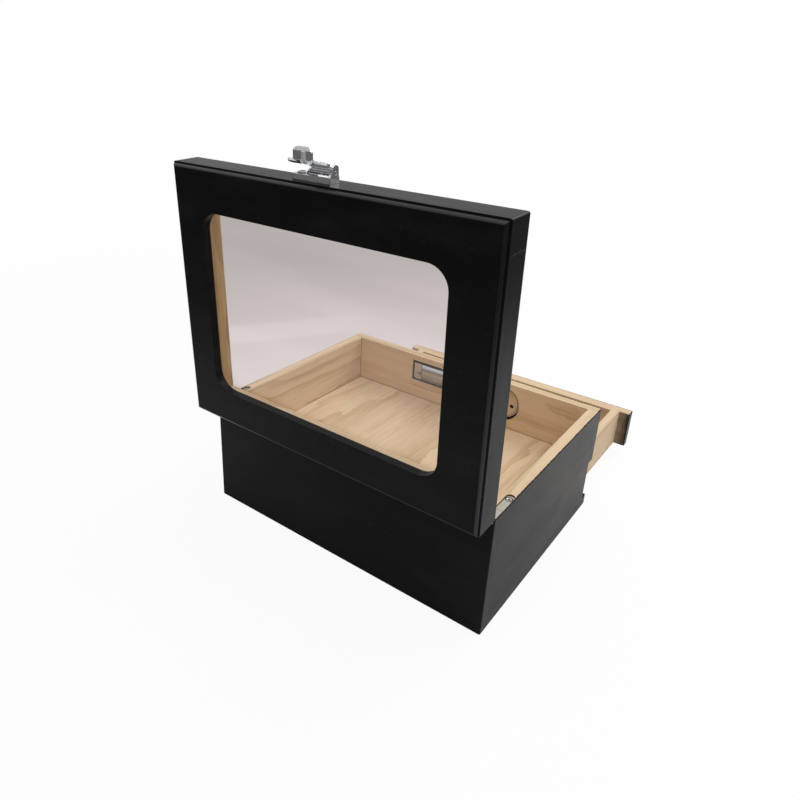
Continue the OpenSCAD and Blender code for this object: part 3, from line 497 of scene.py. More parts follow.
# %% [markdown]
# Nothing real has a razor edge. The Bevel node looks a little way along the surface
# and gives a normal that rolls over the edges; where it differs from the true normal
# there is an edge, so the same node also tells where hands have rubbed the paint.

# %% Shader group: soft worn edges
BOARD_EDGE, SMALL_EDGE = 0.0006, 0.0003
EDGE_SAMPLES, EDGE_ALIKE = 6, (0.80, 0.985)
CHIP_SCALE, CHIP_NOISE = (130, 130, 130), (0.48, 0.66)

edge_group, given, made = node_group(
    "worn_edges",
    [("Vector", "Vector", None), ("Radius", "Float", BOARD_EDGE)],
    [("Normal", "Vector"), ("Mask", "Float")],
)
tree = edge_group
rolled = put(tree, "ShaderNodeBevel", {"Radius": given["Radius"]}, samples=EDGE_SAMPLES).outputs[0]
true_normal = put(tree, "ShaderNodeNewGeometry").outputs["True Normal"]
alike = calc_vector(tree, "DOT_PRODUCT", rolled, true_normal)["Value"]
edge = fade(tree, alike, *EDGE_ALIKE)
chipped = noise(tree, given["Vector"], CHIP_SCALE, detail=4.0, roughness=0.65)["Fac"]
chipped = ramp(tree, chipped, *CHIP_NOISE)
tree.links.new(rolled, made["Normal"])
tree.links.new(calc(tree, "MULTIPLY", edge, chipped), made["Mask"])
print("group worn_edges:", len(tree.nodes), "nodes")

# %% [markdown]
# A board's pattern is read where the board stands in the closed box: the lid's boards
# are turned back down about the hinge and the drawer's are pushed back in, by a Mapping
# node. A second Mapping node lays the trunk along the board and puts its heart where
# the figure asks for it.

# %% Where each board belongs
HINGE_AT = Vector((0.0, 0.100, 0.0967))
LID_OPEN = math.radians(92.3)
DRAWER_OUT = 0.117

lid_turn = Matrix.Rotation(LID_OPEN, 3, "X")
HOMES = {
    "case": ((0, 0, 0), (0, 0, 0)),
    "lid": (tuple(HINGE_AT - lid_turn @ HINGE_AT), (LID_OPEN, 0, 0)),
    "drawer": ((0, DRAWER_OUT, 0), (0, 0, 0)),
}


def at_home(tree, home):
    """Object coordinates of a piece, moved to where it stands in the closed box."""
    place = put(tree, "ShaderNodeTexCoord").outputs["Object"]
    shift, turn = HOMES[home]
    return put(tree, "ShaderNodeMapping", {"Vector": place, "Location": shift, "Rotation": turn}).outputs[0]


def along_trunk(tree, place, along, heart, lean):
    """Coordinates with X along the trunk: a quarter turn for boards that run front to back,
    then a lean in degrees, and last the place of the heart."""
    quarter = -math.pi / 2 if along == "y" else 0.0
    turn = (0.0, math.radians(lean), quarter)
    return put(tree, "ShaderNodeMapping", {"Vector": place, "Location": heart, "Rotation": turn}).outputs[0]


def new_finish(name, **plain):
    """A material with one Principled shader, whose even values are set on its own sockets."""
    finish = bpy.data.materials.new(name)
    finish.use_nodes = True
    tree = finish.node_tree
    tree.nodes.clear()
    sockets = {key.replace("_", " "): value for key, value in plain.items()}
    shader = put(tree, "ShaderNodeBsdfPrincipled", sockets)
    put(tree, "ShaderNodeOutputMaterial", {"Surface": shader.outputs[0]})
    return finish, tree, shader.inputs


print("homes:", ", ".join(HOMES))

# %% [markdown]
# Some places differ from the rest of their board. Two boards caught stray spray: the
# drawer front behind its overhanging end, and the base's front lip. Cut walls get painted
# shade: those of the mortises round the hinge leaves and of the humidifier's pocket.

# %% Stray spray and painted shade in cuts
DRAWER_SIDE, DRAWER_TOP = 0.1195, 0.046
STRAY_THIN = 0.66
STRAY_SCALE, STRAY_NOISE, STRAY_LEAST = (700, 700, 60), (0.3, 0.7), 0.88
SIDE_EDGE, TOP_EDGE, LIP_EDGE = (-0.0003, 0.0004), (-0.0012, -0.0004), (-0.0003, 0.0006)
RIM = 0.0965
LEAF_END, LEAF_WALL, LEAF_SUNK = (0.126, 0.069), (0.0040, 0.0046), (-0.0005, -0.0001)
PUCK_HOLE, PUCK_SUNK = 0.0172, (-0.0003, -0.0001)


def beyond(start, edge):
    """The two ends of an edge, measured from its start."""
    return start + edge[0], start + edge[1]


def behind_ends(tree, place):
    """Stray spray on the drawer front's back, outside the drawer's side at negative X: thin
    and streaky beside it, thick at the end."""
    axes = axes_of(tree, place)
    out = calc(tree, "MULTIPLY", axes["X"], -1.0)
    thick = ramp(tree, out, DRAWER_SIDE, BOX_HALF[0], STRAY_THIN, 1.0)
    streaks = ramp(tree, noise(tree, place, STRAY_SCALE, detail=3.0)["Fac"], *STRAY_NOISE, STRAY_LEAST)
    outside = ramp(tree, out, *beyond(DRAWER_SIDE, SIDE_EDGE))
    low = fade(tree, axes["Z"], *beyond(DRAWER_TOP, TOP_EDGE))
    streaky = calc(tree, "MULTIPLY", thick, streaks)
    return calc(tree, "MULTIPLY", streaky, calc(tree, "MULTIPLY", outside, low))


def on_lip(tree, place):
    """Spray on the base board in front of the drawer bay."""
    return fade(tree, axes_of(tree, place)["Y"], *beyond(-TRAY_HALF[1], LIP_EDGE))


def leaf_pocket_shade(tree, place):
    """Painted shade on the cut walls of the mortises round the case's hinge leaves, which end in half
    rounds.
    """
    axes = axes_of(tree, place)
    side = past(tree, axes["X"], LEAF_END[0])
    back = calc(tree, "MINIMUM", calc(tree, "SUBTRACT", axes["Y"], LEAF_END[1]), 0.0)
    wall = fade(tree, distance(tree, side, back), *LEAF_WALL)
    return calc(tree, "MULTIPLY", wall, fade(tree, axes["Z"], *beyond(RIM, LEAF_SUNK)))


def round_pocket_shade(tree, place):
    """Painted shade on the wall of the round pocket that holds the humidifier, below the fascia's inner
    face.
    """
    low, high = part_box("humidifier_case")
    axes = axes_of(tree, place)
    side = calc(tree, "SUBTRACT", axes["X"], (low[0] + high[0]) / 2)
    up = calc(tree, "SUBTRACT", axes["Z"], (low[2] + high[2]) / 2)
    away = distance(tree, side, up)
    sunk = fade(tree, axes["Y"], *beyond(-TRAY_HALF[1], PUCK_SUNK))
    return calc(tree, "MULTIPLY", sunk, calc(tree, "LESS_THAN", away, PUCK_HOLE))


print("special places: 2 with stray spray, 2 with dark cuts")

# %% [markdown]
# Each board takes the same groups with its own grain. The heart of the trunk lies far
# under the tray floor, which is peeled veneer with broad flames, and the lid's two
# short rails are of a more amber wood than the rest.

# %% Bare and sprayed boards
WORN_PAINT = (0.034, 0.030, 0.027, 1)
GLUE_AND_SHADE_LINE, GLUE_AND_SHADE_SHARE = (0.16, 0.095, 0.05, 1), 0.75
CUT_SHADE, CUT_SHADE_SHARE = (0.016, 0.011, 0.007, 1), 0.95
BOARD_WEAR, PANEL_WEAR = 0.4, 0.5
AMBER_EARLY, AMBER_LATE = (0.55, 0.375, 0.20, 1), (0.36, 0.225, 0.105, 1)
BOARD_GLOSS = {"Specular_IOR_Level": 0.085, "Specular_Tint": (1.0, 0.975, 0.93, 1)}
WOOD_BUMP, PAINT_BUMP = 0.00006, 0.00003


def board_finish(slot, home, along, heart, lean, grain, stray=None, dark=None):
    """Bare pale wood inside, satin black where the spray reached, rubbed along the edges."""
    finish, tree, shader = new_finish(slot + "_finish", **BOARD_GLOSS)
    place = at_home(tree, home)
    trunk = along_trunk(tree, place, along, heart, lean)
    wood = use_group(tree, wood_group, {"Vector": trunk, **grain})
    bare = wood["Color"]
    if home == "case":
        # Painted shade, partly glue: the tray's corner lines are darkened.
        joints_and_shade = use_group(tree, joint_shade_group, {"Vector": place})["Mask"]
        bare = mix_colour(tree, calc(tree, "MULTIPLY", joints_and_shade, GLUE_AND_SHADE_SHARE), bare, GLUE_AND_SHADE_LINE)
    if dark:
        # Painted shade: the cut walls of pockets are darkened where shade falls in them.
        bare = mix_colour(tree, calc(tree, "MULTIPLY", dark(tree, place), CUT_SHADE_SHARE), bare, CUT_SHADE)
    paint = use_group(tree, paint_group, {"Vector": trunk})
    sprayed = use_group(tree, spray_group, {"Vector": place})["Mask"]
    if stray:
        sprayed = calc(tree, "MAXIMUM", sprayed, stray(tree, place))
    edges = use_group(tree, edge_group, {"Vector": place})
    worn = calc(tree, "MULTIPLY", edges["Mask"], BOARD_WEAR)
    rubbed = mix_colour(tree, worn, paint["Color"], WORN_PAINT)
    tree.links.new(mix_colour(tree, sprayed, bare, rubbed), shader["Base Color"])
    tree.links.new(mix_value(tree, sprayed, wood["Roughness"], paint["Roughness"]), shader["Roughness"])
    wood_height = calc(tree, "MULTIPLY", wood["Height"], WOOD_BUMP)
    paint_height = calc(tree, "MULTIPLY", paint["Height"], PAINT_BUMP)
    height = mix_value(tree, sprayed, wood_height, paint_height)
    set_bump(tree, shader, height, edges["Normal"])
    return finish


BOARDS = [
    ("black_base", "case", "x", (0.0, 0.03, 0.02), 2.0, {}, {"stray": on_lip}),
    ("case_side_wood", "case", "y", (0.0, 0.0, -0.030), 1.5,
     {"Ring Width": 0.007, "Figure": 1.0}, {"dark": leaf_pocket_shade}),
    ("case_front_wood", "case", "x", (0.0, 0.05, -0.085), 1.2,
     {"Ring Width": 0.008, "Figure": 1.0}, {"dark": round_pocket_shade}),
    ("tray_wood", "case", "y", (0.0, 0.02, 0.200), 4.0,
     {"Ring Width": 0.011, "Figure": 0.95, "Wander": 0.050}, {}),
    ("lid_rail_wood", "lid", "x", (0.0, 0.02, -0.060), 1.6, {}, {}),
    ("lid_stile_wood", "lid", "y", (0.0, 0.03, -0.070), 1.0,
     {"Ring Width": 0.006, "Figure": 0.9, "Early Wood": AMBER_EARLY, "Late Wood": AMBER_LATE}, {}),
    ("black_drawer_front", "drawer", "x", (0.0, 0.06, -0.010), 1.5, {}, {"stray": behind_ends}),
    ("drawer_side_wood", "drawer", "y", (0.0, 0.05, 0.010), 1.3, {}, {}),
    ("drawer_back_wood", "drawer", "x", (0.0, 0.02, 0.015), 1.0, {}, {}),
    ("drawer_bottom_wood", "drawer", "x", (0.0, 0.0, 0.020), 3.0, {}, {}),
]
finishes = {slot: board_finish(slot, *cut, **extra) for slot, *cut, extra in BOARDS}
print("boards:", ", ".join(finishes))

# %% [markdown]
# The lid's top panel was painted on every face, also round the window, before the
# frame was glued to it. It takes the paint and the worn edges alone, and its beaded rim,
# which every hand touches, has been rubbed to a shine: a thin clear coat lies there.

# %% Painted lid panel
BEAD = 0.003
BEAD_SHINE, BEAD_GLOSS = 0.60, 0.22

panel_finish, tree, shader = new_finish("black_panel_finish", **BOARD_GLOSS, Coat_Roughness=BEAD_GLOSS)
place = at_home(tree, "lid")
axes = axes_of(tree, place)
past_x = past(tree, axes["X"], BOX_HALF[0] - BEAD)
past_y = past(tree, axes["Y"], BOX_HALF[1] - BEAD)
at_rim = calc(tree, "GREATER_THAN", calc(tree, "MAXIMUM", past_x, past_y), 0.0)
on_bead = calc(tree, "MULTIPLY", at_rim, calc(tree, "GREATER_THAN", axes["Z"], BOX_TOP - BEAD))
tree.links.new(calc(tree, "MULTIPLY", on_bead, BEAD_SHINE), shader["Coat Weight"])
paint = use_group(tree, paint_group, {"Vector": place})
edges = use_group(tree, edge_group, {"Vector": place})
worn = calc(tree, "MULTIPLY", edges["Mask"], PANEL_WEAR)
tree.links.new(mix_colour(tree, worn, paint["Color"], WORN_PAINT), shader["Base Color"])
tree.links.new(paint["Roughness"], shader["Roughness"])
set_bump(tree, shader, calc(tree, "MULTIPLY", paint["Height"], PAINT_BUMP), edges["Normal"])
finishes["black_panel"] = panel_finish
print("panel finish:", len(tree.nodes), "nodes")

# %% [markdown]
# The pane is plain window glass with a wiped haze on it. Glass is a Principled shader
# with full transmission; lamps would be stopped by it, so rays that come from lamps
# meet a Transparent shader instead. The haze varies the tint and the roughness. On the
# pane the tint is also painted shade: it is darker towards the top of the raised lid. The
# hygrometer's lens is a clear plastic made in the same way.

# %% Window pane and lens
PANE_SHADED_TINTS, PANE_SHADE_REACH = ((0.94, 0.91, 0.91, 1), (0.97, 0.95, 0.95, 1)), (-0.07, 0.07)
LENS_TINTS, LENS_REACH = ((0.9, 0.9, 0.9, 1), (0.94, 0.94, 0.94, 1)), (-0.12, -0.09)
GLASS_IOR, PLASTIC_IOR = 1.46, 1.49
LAMP_TINT = (0.9, 0.9, 0.9, 1)
SMEAR_SCALE, SMEAR_TINT = (9, 34, 34), 0.12
SMEAR_NOISE, SMEAR_ROUGH = (0.4, 0.8), (0.0, 0.006)


def see_through(name, tints, reach, **plain):
    """Clear sheet whose tint goes from one colour to another along Y, read as on the lid, with
    wiped smears in its gloss, and open to rays from lamps."""
    finish, tree, shader = new_finish(name, Transmission_Weight=1.0, **plain)
    place = at_home(tree, "lid")
    down = axes_of(tree, place)["Y"]
    smear = noise(tree, place, SMEAR_SCALE, detail=4.0, roughness=0.6)["Fac"]
    haze_and_shade = calc(tree, "MULTIPLY_ADD", swing(tree, smear), SMEAR_TINT, ramp(tree, down, *reach))
    tree.links.new(mix_colour(tree, haze_and_shade, *tints), shader["Base Color"])
    tree.links.new(ramp(tree, smear, *SMEAR_NOISE, *SMEAR_ROUGH), shader["Roughness"])
    from_lamp = put(tree, "ShaderNodeLightPath").outputs["Is Shadow Ray"]
    clear = put(tree, "ShaderNodeBsdfTransparent", {"Color": LAMP_TINT}).outputs[0]
    output = next(node for node in tree.nodes if node.type == "OUTPUT_MATERIAL")
    glass = output.inputs[0].links[0].from_socket
    tree.links.new(mix_shader(tree, from_lamp, glass, clear), output.inputs["Surface"])
    return finish


# Painted shade: the pane's tint is darker towards the top of the raised lid.
finishes["pane_glass"] = see_through("pane_glass_finish", PANE_SHADED_TINTS, PANE_SHADE_REACH, IOR=GLASS_IOR)
finishes["lens_plastic"] = see_through("lens_plastic_finish", LENS_TINTS, LENS_REACH, IOR=PLASTIC_IOR)
print("clear finishes: pane_glass, lens_plastic")

# %% [markdown]
# The metal pieces are plated steel and brass. Plating follows the polish under it, so
# it has fine drawn lines, a cloudy bloom where fingers have been, and small pits.
# One group gives these, and each metal has its own colour and gloss.

# %% Shader group: plated metal
DRAWN_SCALE, BLOOM_SCALE, PIT_SCALE = (60, 2600, 2600), (190, 190, 190), (1500, 1500, 1500)
BLOOM_NOISE, PIT_NOISE = (0.35, 0.70), (0.72, 0.80)
PIT_ROUGH, PIT_DEPTH = 0.10, 0.4

metal_group, given, made = node_group(
    "plated_metal",
    [("Vector", "Vector", None), ("Bright", "Color", (0.8, 0.8, 0.8, 1)),
     ("Dull", "Color", (0.6, 0.6, 0.6, 1)), ("Gloss", "Float", 0.1), ("Bloom", "Float", 0.1)],
    SURFACE,
)
tree = metal_group
drawn = noise(tree, given["Vector"], DRAWN_SCALE, detail=2.0)["Fac"]
bloom = noise(tree, given["Vector"], BLOOM_SCALE, detail=4.0, roughness=0.6)["Fac"]
pits = ramp(tree, noise(tree, given["Vector"], PIT_SCALE, detail=0.0)["Fac"], *PIT_NOISE)
cloudy = ramp(tree, bloom, *BLOOM_NOISE)
tree.links.new(mix_colour(tree, cloudy, given["Bright"], given["Dull"]), made["Color"])
rough = calc(tree, "MULTIPLY_ADD", cloudy, given["Bloom"], given["Gloss"])
tree.links.new(calc(tree, "MULTIPLY_ADD", pits, PIT_ROUGH, rough), made["Roughness"])
tree.links.new(calc(tree, "MULTIPLY_ADD", pits, -PIT_DEPTH, drawn), made["Height"])
print("group plated_metal:", len(tree.nodes), "nodes")

# %% [markdown]
# Chrome on the latch and knob is the brightest; nickel on the hinges is warmer and
# duller; the small screws are grey steel. Painted shade darkens a ring round the leaves'
# screws, in their countersinks, and a line at the foot of the raised block beside each
# knuckle, and the hook's rib is rubbed matt.

# %% Metal finishes
METAL_BUMP = 0.0000012
LEAF_SCREW_OFF, LEAF_BLOCK_OFF = 0.029, 0.0135
LEAF_SHADE_TONE = (0.035, 0.030, 0.025, 1)
SCREW_RING_IN, SCREW_RING_OUT = (0.0019, 0.0022), (0.0026, 0.0030)
FOOT_LINE, FOOT_SHADE = (0.0001, 0.0005), 0.8
HOOK_RIB, RIB_MATT = (0.0025, 0.0061, 0.3098, 0.3149), 0.5
CHROME = ((0.84, 0.85, 0.87, 1), (0.72, 0.73, 0.75, 1))
METALS = [
    ("latch_chrome", *CHROME, 0.05, 0.06),
    ("knob_chrome", *CHROME, 0.06, 0.06),
    ("hinge_nickel", (0.42, 0.39, 0.335, 1), (0.37, 0.34, 0.29, 1), 0.26, 0.06),
    ("hinge_screw_nickel", (0.80, 0.75, 0.68, 1), (0.60, 0.56, 0.50, 1), 0.14, 0.08),
    ("screw_steel", (0.42, 0.42, 0.43, 1), (0.26, 0.26, 0.27, 1), 0.26, 0.18),
    ("plate_steel", (0.50, 0.50, 0.50, 1), (0.36, 0.36, 0.36, 1), 0.30, 0.15),
    ("cell_steel", (0.66, 0.66, 0.66, 1), (0.50, 0.50, 0.50, 1), 0.18, 0.15),
]


def leaf_painted_shade(tree, place):
    """Painted shade: a dark ring in the countersink round a leaf's screw, and a line at the foot of its
    block.
    Both are measured along Y on a case leaf and along Z on a lid leaf, which stands up."""
    axes = axes_of(tree, place)
    side = past(tree, axes["X"], LEAF_END[0])
    down = calc(tree, "SUBTRACT", axes["Y"], HINGE_AT.y - LEAF_SCREW_OFF)
    up = calc(tree, "SUBTRACT", axes["Z"], HINGE_AT.z + LEAF_SCREW_OFF)
    near = calc(tree, "MINIMUM", calc(tree, "ABSOLUTE", down), calc(tree, "ABSOLUTE", up))
    away = distance(tree, side, near)
    ring = calc(tree, "MULTIPLY", ramp(tree, away, *SCREW_RING_IN), fade(tree, away, *SCREW_RING_OUT))
    step = LEAF_SCREW_OFF - LEAF_BLOCK_OFF
    foot = calc(tree, "MINIMUM", calc(tree, "ABSOLUTE", calc(tree, "SUBTRACT", down, step)),
                calc(tree, "ABSOLUTE", calc(tree, "ADD", up, step)))
    return calc(tree, "MAXIMUM", ring, ramp(tree, foot, *FOOT_LINE, FOOT_SHADE, 0.0))


def on_rib(tree, place):
    """The low rib up the latch hook, which the strike rubs matt each time the lid is shut."""
    axes = axes_of(tree, place)
    left, right, foot, head = HOOK_RIB
    beside = calc(tree, "COMPARE", axes["X"], (left + right) / 2, (right - left) / 2)
    between = calc(tree, "COMPARE", axes["Z"], (foot + head) / 2, (head - foot) / 2)
    return calc(tree, "MULTIPLY", beside, between)


def metal_finish(slot, bright, dull, gloss, bloom):
    """Plated metal with softened edges, painted shade round the screws of a hinge leaf, and a matt
    rib on the latch hook."""
    finish, tree, shader = new_finish(slot + "_finish", Metallic=1.0)
    place = put(tree, "ShaderNodeTexCoord").outputs["Object"]
    look = {"Vector": place, "Bright": bright, "Dull": dull, "Gloss": gloss, "Bloom": bloom}
    metal = use_group(tree, metal_group, look)
    edges = use_group(tree, edge_group, {"Vector": place, "Radius": SMALL_EDGE})
    colour, rough = metal["Color"], metal["Roughness"]
    if slot == "hinge_nickel":
        # Painted shade in the countersinks and at the foot of each leaf's block.
        colour = mix_colour(tree, leaf_painted_shade(tree, place), colour, LEAF_SHADE_TONE)
    if slot == "latch_chrome":
        rough = calc(tree, "MULTIPLY_ADD", on_rib(tree, place), RIB_MATT, rough)
    tree.links.new(colour, shader["Base Color"])
    tree.links.new(rough, shader["Roughness"])
    set_bump(tree, shader, calc(tree, "MULTIPLY", metal["Height"], METAL_BUMP), edges["Normal"])
    return finish


finishes.update({slot: metal_finish(slot, *look) for slot, *look in METALS})
print("metals:", ", ".join(row[0] for row in METALS))

# %% [markdown]
# The hygrometer is moulded. Its back is silvered plastic with a bowed, glossy battery
# door, its front flange is black, and inside it are a green circuit board and a pale
# liquid-crystal face. Moulded skin has a very fine even texture with faint flow
# streaks. The edge of the housing is painted black as painted shade of the slot of the
# cut-out round it, wider at the top where the slot's shadow falls, and the seam beside
# the door is black as a dark joint. The humidifier's cup and cover are beige, like the
# wood round them.

# %% Shader group and finishes: moulded plastic
FLOW_SCALE, FLOW_NOISE = (25, 160, 160), (0.3, 0.7)
SKIN_SCALE, SKIN_ROUGH = (1800, 1800, 1800), 0.10
MOULD_BUMP, MOULD_SPECULAR = 0.000004, 0.4
SLOT_SHADE_WIDE, SLOT_TOP_SHADOW, SLOT_EDGE, SEAM_NARROW = 0.0016, 0.0011, 0.0002, 3.0
SLOT_SHADE_BLACK, SLOT_MATT = (0.006, 0.0055, 0.005, 1), 0.6
DOOR_CROWN = 38.0
MOULDED = [
    ("housing_plastic", (0.52, 0.53, 0.54, 1), (0.46, 0.47, 0.48, 1), 0.14, 0.8),
    ("humidifier_shell", (0.68, 0.52, 0.37, 1), (0.62, 0.47, 0.33, 1), 0.45, 0.0),
    ("bezel_plastic", (0.020, 0.020, 0.021, 1), (0.026, 0.026, 0.027, 1), 0.30, 0.0),
    ("display_face", (0.38, 0.42, 0.36, 1), (0.34, 0.38, 0.33, 1), 0.40, 0.0),
    ("circuit_green", (0.03, 0.16, 0.06, 1), (0.05, 0.22, 0.09, 1), 0.35, 0.0),
]

mould_group, given, made = node_group(
    "moulded_plastic",
    [("Vector", "Vector", None), ("Tone", "Color", (0.5, 0.5, 0.5, 1)),
     ("Flow", "Color", (0.4, 0.4, 0.4, 1)), ("Gloss", "Float", 0.35)],
    SURFACE,
)
tree = mould_group
flow = noise(tree, given["Vector"], FLOW_SCALE, detail=4.0)["Fac"]
skin = noise(tree, given["Vector"], SKIN_SCALE, detail=1.0)["Fac"]
flowing = ramp(tree, flow, *FLOW_NOISE)
tree.links.new(mix_colour(tree, flowing, given["Tone"], given["Flow"]), made["Color"])
matt = calc(tree, "MULTIPLY_ADD", swing(tree, skin), SKIN_ROUGH, given["Gloss"])
tree.links.new(matt, made["Roughness"])
tree.links.new(skin, made["Height"])


def slot_shade_and_seam(tree, place):
    """Painted shade of the slot round the hygrometer's back: a black band, wider at the top where the shadow
    falls, and the seam beside its door.
    """
    low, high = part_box("hygrometer_housing")
    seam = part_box("hygrometer_battery_door")[1][0]
    axes = axes_of(tree, place)
    from_seam = calc(tree, "ABSOLUTE", calc(tree, "SUBTRACT", axes["X"], seam))
    inside = calc(tree, "MULTIPLY", from_seam, SEAM_NARROW)
    for end in (calc(tree, "SUBTRACT", axes["X"], low[0]),
                calc(tree, "SUBTRACT", high[0], axes["X"]),
                calc(tree, "SUBTRACT", axes["Z"], low[2]),
                calc(tree, "SUBTRACT", high[2] - SLOT_TOP_SHADOW, axes["Z"])):
        inside = calc(tree, "MINIMUM", inside, end)
    return fade(tree, inside, SLOT_SHADE_WIDE - SLOT_EDGE, SLOT_SHADE_WIDE + SLOT_EDGE)


def door_crown(tree, place):
    """Extra height of the battery door's crown: it falls with the square of the distance from
    the door's middle line, so the door mirrors the ceiling at its top and the tray below."""
    low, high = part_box("hygrometer_battery_door")
    axes = axes_of(tree, place)
    off = calc(tree, "SUBTRACT", axes["Z"], (low[2] + high[2]) / 2)
    fall = calc(tree, "MULTIPLY", calc(tree, "MULTIPLY", off, off), -DOOR_CROWN)
    return calc(tree, "MULTIPLY", fall, calc(tree, "LESS_THAN", axes["X"], high[0]))


def moulded_finish(slot, tone, flow, gloss, metallic):
    """Moulded plastic, with a metallic pigment where it is silvered."""
    finish, tree, shader = new_finish(slot + "_finish", Metallic=metallic, Specular_IOR_Level=MOULD_SPECULAR)
    place = put(tree, "ShaderNodeTexCoord").outputs["Object"]
    plastic = use_group(tree, mould_group, {"Vector": place, "Tone": tone, "Flow": flow, "Gloss": gloss})
    edges = use_group(tree, edge_group, {"Vector": place, "Radius": SMALL_EDGE})
    colour, rough = plastic["Color"], plastic["Roughness"]
    height = calc(tree, "MULTIPLY", plastic["Height"], MOULD_BUMP)
    if slot == "housing_plastic":
        # Painted shade of the slot round the housing, and the dark seam beside the door.
        slot_shade = slot_shade_and_seam(tree, place)
        colour = mix_colour(tree, slot_shade, colour, SLOT_SHADE_BLACK)
        rough = mix_value(tree, slot_shade, rough, SLOT_MATT)
        tree.links.new(ramp(tree, slot_shade, 0.0, 1.0, metallic, 0.0), shader["Metallic"])
        height = calc(tree, "ADD", height, door_crown(tree, place))
    tree.links.new(colour, shader["Base Color"])
    tree.links.new(rough, shader["Roughness"])
    set_bump(tree, shader, height, edges["Normal"])
    return finish


finishes.update({slot: moulded_finish(slot, *look) for slot, *look in MOULDED})
print("moulded:", ", ".join(row[0] for row in MOULDED))

# %% [markdown]
# The humidifier holds a pad of dark wet foam that gives off its water, and it shows in
# the vent holes of the cover. Foam is mostly air, so its skin is a crust of tiny broken
# cells: a Voronoi pattern gives the cell walls.

# %% Foam finish
FOAM_WALL = (0.030, 0.042, 0.026, 1)
FOAM_CELL = (0.008, 0.014, 0.008, 1)
FOAM_SCALE, FOAM_SPECULAR, FOAM_BUMP = 1400.0, 0.2, 0.0003
WALL_REACH, FOAM_REACH, FOAM_ROUGH = (0.15, 0.55), (0.0, 0.6), (0.75, 0.95)

foam_finish, tree, shader = new_finish("sponge_foam_finish", Specular_IOR_Level=FOAM_SPECULAR)
place = put(tree, "ShaderNodeTexCoord").outputs["Object"]
cells = put(tree, "ShaderNodeTexVoronoi", {"Vector": place, "Scale": FOAM_SCALE}).outputs["Distance"]
walls = ramp(tree, cells, *WALL_REACH)
tree.links.new(mix_colour(tree, walls, FOAM_CELL, FOAM_WALL), shader["Base Color"])
tree.links.new(ramp(tree, cells, *FOAM_REACH, *FOAM_ROUGH), shader["Roughness"])
set_bump(tree, shader, calc(tree, "MULTIPLY", cells, FOAM_BUMP))
finishes["sponge_foam"] = foam_finish
print("foam finish:", len(tree.nodes), "nodes")

# %% [markdown]
# Now every piece of the frame gets its finish. A CAD piece came in with one material
# that has the name of its slot in the record, and the finish takes that slot over.

# %% Dress the frame
for piece in frame["nodes"].values():
    for holder in piece.material_slots:
        holder.material = finishes[holder.material.name]
print("dressed:", len(frame["nodes"]), "pieces with", len(finishes), "finishes")

# %% [markdown]
# The foam pad itself is soft, so it is modelled here in place of its plain solid: a
# round pad with a domed rim and a lumpy face, slightly smaller than its cup. It is a
# surface of two parameters, the angle round the pad and the way from one face over
# the rim to the other.

# %% Foam pad
PAD_ROUND, PAD_OVER, PAD_TIP = 96, 48, 0.02
PAD_WIDE, PAD_THICK = 0.985, 0.90
PAD_LUMP, LUMP_X, LUMP_Z = 0.00012, (1900, 3), (2300, 1)


def surface_mesh(name, points):
    """Mesh of a grid of points, closed round its first parameter, with both ends of the
    second parameter closed by their last rings, and each face wound to look outwards."""
    rows, columns = points.shape[:2]
    here = np.arange(rows * columns).reshape(rows, columns)
    ahead = np.roll(here, -1, axis=0)
    quads = np.stack([here[:, :-1], ahead[:, :-1], ahead[:, 1:], here[:, 1:]], axis=-1).reshape(-1, 4)
    caps = [here[::-1, 0].tolist(), here[:, -1].tolist()]
    mesh = bpy.data.meshes.new(name)
    mesh.from_pydata(points.reshape(-1, 3).tolist(), [], quads.tolist() + caps)
    mesh.shade_smooth()
    return mesh


def foam_pad_points(low, high):
    """Pad between two corners with its axis along Y. The radius is that of a superellipse
    of the fourth power, and lumps are products of sines that die out at the rim."""
    middle, half = (np.array(low) + np.array(high)) / 2, (np.array(high) - np.array(low)) / 2
    turn = np.linspace(0, 2 * math.pi, PAD_ROUND, endpoint=False)[:, None]
    over = np.linspace(-math.pi / 2 + PAD_TIP, math.pi / 2 - PAD_TIP, PAD_OVER)[None, :]
    radius = PAD_WIDE * half[0] * np.sqrt(np.abs(np.cos(over))) + 0 * turn
    thick = PAD_THICK * half[1] * np.sign(np.sin(over)) * np.sqrt(np.abs(np.sin(over))) + 0 * turn
    x, z = radius * np.cos(turn), radius * np.sin(turn)
    waves = np.sin(LUMP_X[0] * x + LUMP_X[1]) * np.sin(LUMP_Z[0] * z + LUMP_Z[1])
    lumps = PAD_LUMP * waves * np.abs(np.sin(over))
    return middle + np.stack([x, thick + lumps * np.sign(thick), z], axis=-1)


pad_mesh = surface_mesh("humidifier_foam_pad", foam_pad_points(*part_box("humidifier_sponge")))
foam_pad = bpy.data.objects.new("humidifier_foam_pad", pad_mesh)
pad_mesh.materials.append(finishes["sponge_foam"])
scene.collection.objects.link(foam_pad)
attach(foam_pad, "case")
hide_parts("humidifier_sponge")
print("foam pad:", len(pad_mesh.polygons), "faces")

# %% [markdown]
# Last, the hygrometer's display gets its numerals: plain seven-segment digits, two for
# the humidity and two for the temperature. One segment is a bar with pointed ends; its
# seven places make any digit, so all the bars are one array, moved and turned at once.

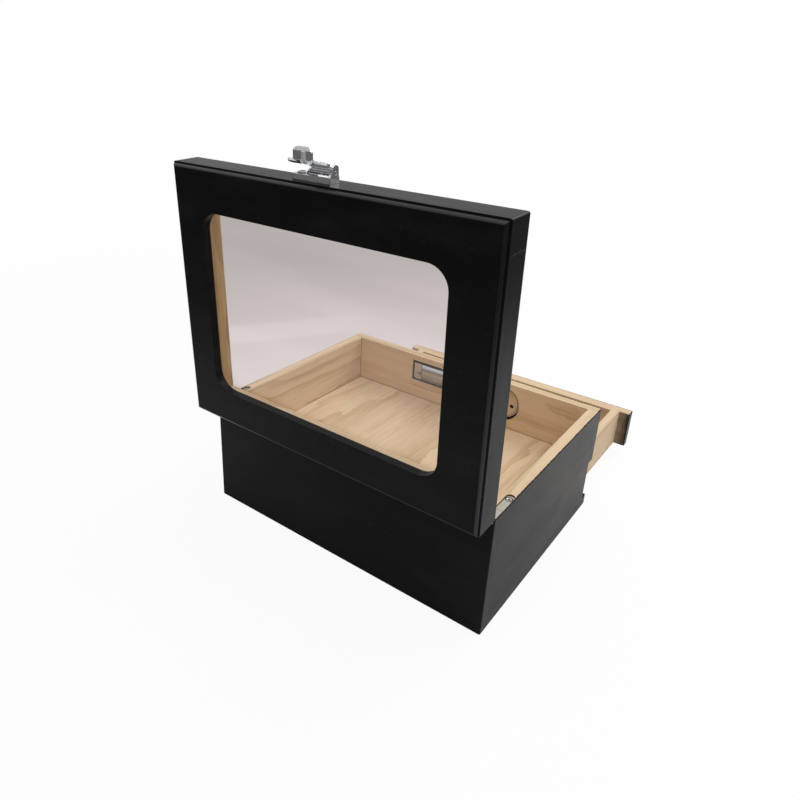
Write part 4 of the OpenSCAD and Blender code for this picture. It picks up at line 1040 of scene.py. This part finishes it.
# %% Display numerals
BAR = np.array([(-0.5, 0), (-0.38, 0.12), (0.38, 0.12), (0.5, 0), (0.38, -0.12), (-0.38, -0.12)])
SEGMENTS = np.array([
    (0, 1, 0), (0.5, 0.5, 1), (0.5, -0.5, 1), (0, -1, 0), (-0.5, -0.5, 1), (-0.5, 0.5, 1), (0, 0, 0),
])
LIT = {"0": (0, 1, 2, 3, 4, 5), "2": (0, 1, 6, 4, 3), "5": (0, 5, 6, 2, 3), "6": (0, 5, 4, 3, 2, 6)}
NUMERALS = [("6", -0.36, 1.0), ("5", -0.16, 1.0), ("2", 0.19, 0.72), ("0", 0.33, 0.72)]
DIGIT_HIGH = 0.0050
BAR_LENGTH, BAR_SLANT = 0.92, 0.10
INK_THICK = 0.00006


def numeral_points(low, high):
    """Corners of every lit bar on the front of the display. A bar is laid flat or turned a
    quarter, moved to its segment, slanted by its height, scaled, and moved to its digit."""
    lit = [(SEGMENTS[s], column, size) for digit, column, size in NUMERALS for s in LIT[digit]]
    places = np.array([place for place, column, size in lit])[:, None, :]
    bars = np.where(places[..., 2:] > 0.5, BAR[None, :, ::-1] * (1, -1), BAR[None])
    flat = bars * BAR_LENGTH + places[..., :2]
    flat = flat + np.stack([BAR_SLANT * flat[..., 1], 0 * flat[..., 1]], axis=-1)
    size = np.array([s for place, column, s in lit])[:, None] * DIGIT_HIGH
    column = np.array([c for place, c, s in lit])[:, None] * (high[0] - low[0])
    x = (low[0] + high[0]) / 2 + column + flat[..., 0] * size
    z = (low[2] + high[2]) / 2 + flat[..., 1] * size
    return np.stack([x, np.full_like(x, low[1] - INK_THICK), z], axis=-1)


ink_points = numeral_points(*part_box("hygrometer_display"))
ink_mesh = bpy.data.meshes.new("hygrometer_numerals")
ink_faces = np.arange(len(ink_points) * len(BAR)).reshape(-1, len(BAR))
ink_mesh.from_pydata(ink_points.reshape(-1, 3).tolist(), [], ink_faces.tolist())
numerals = bpy.data.objects.new("hygrometer_numerals", ink_mesh)
scene.collection.objects.link(numerals)
thick = numerals.modifiers.new("ink", "SOLIDIFY")
thick.thickness = INK_THICK
thick.offset = 0.0
ink_mesh.materials.append(finishes["bezel_plastic"])
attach(numerals, "case")
print("numerals:", len(ink_mesh.polygons), "bars")
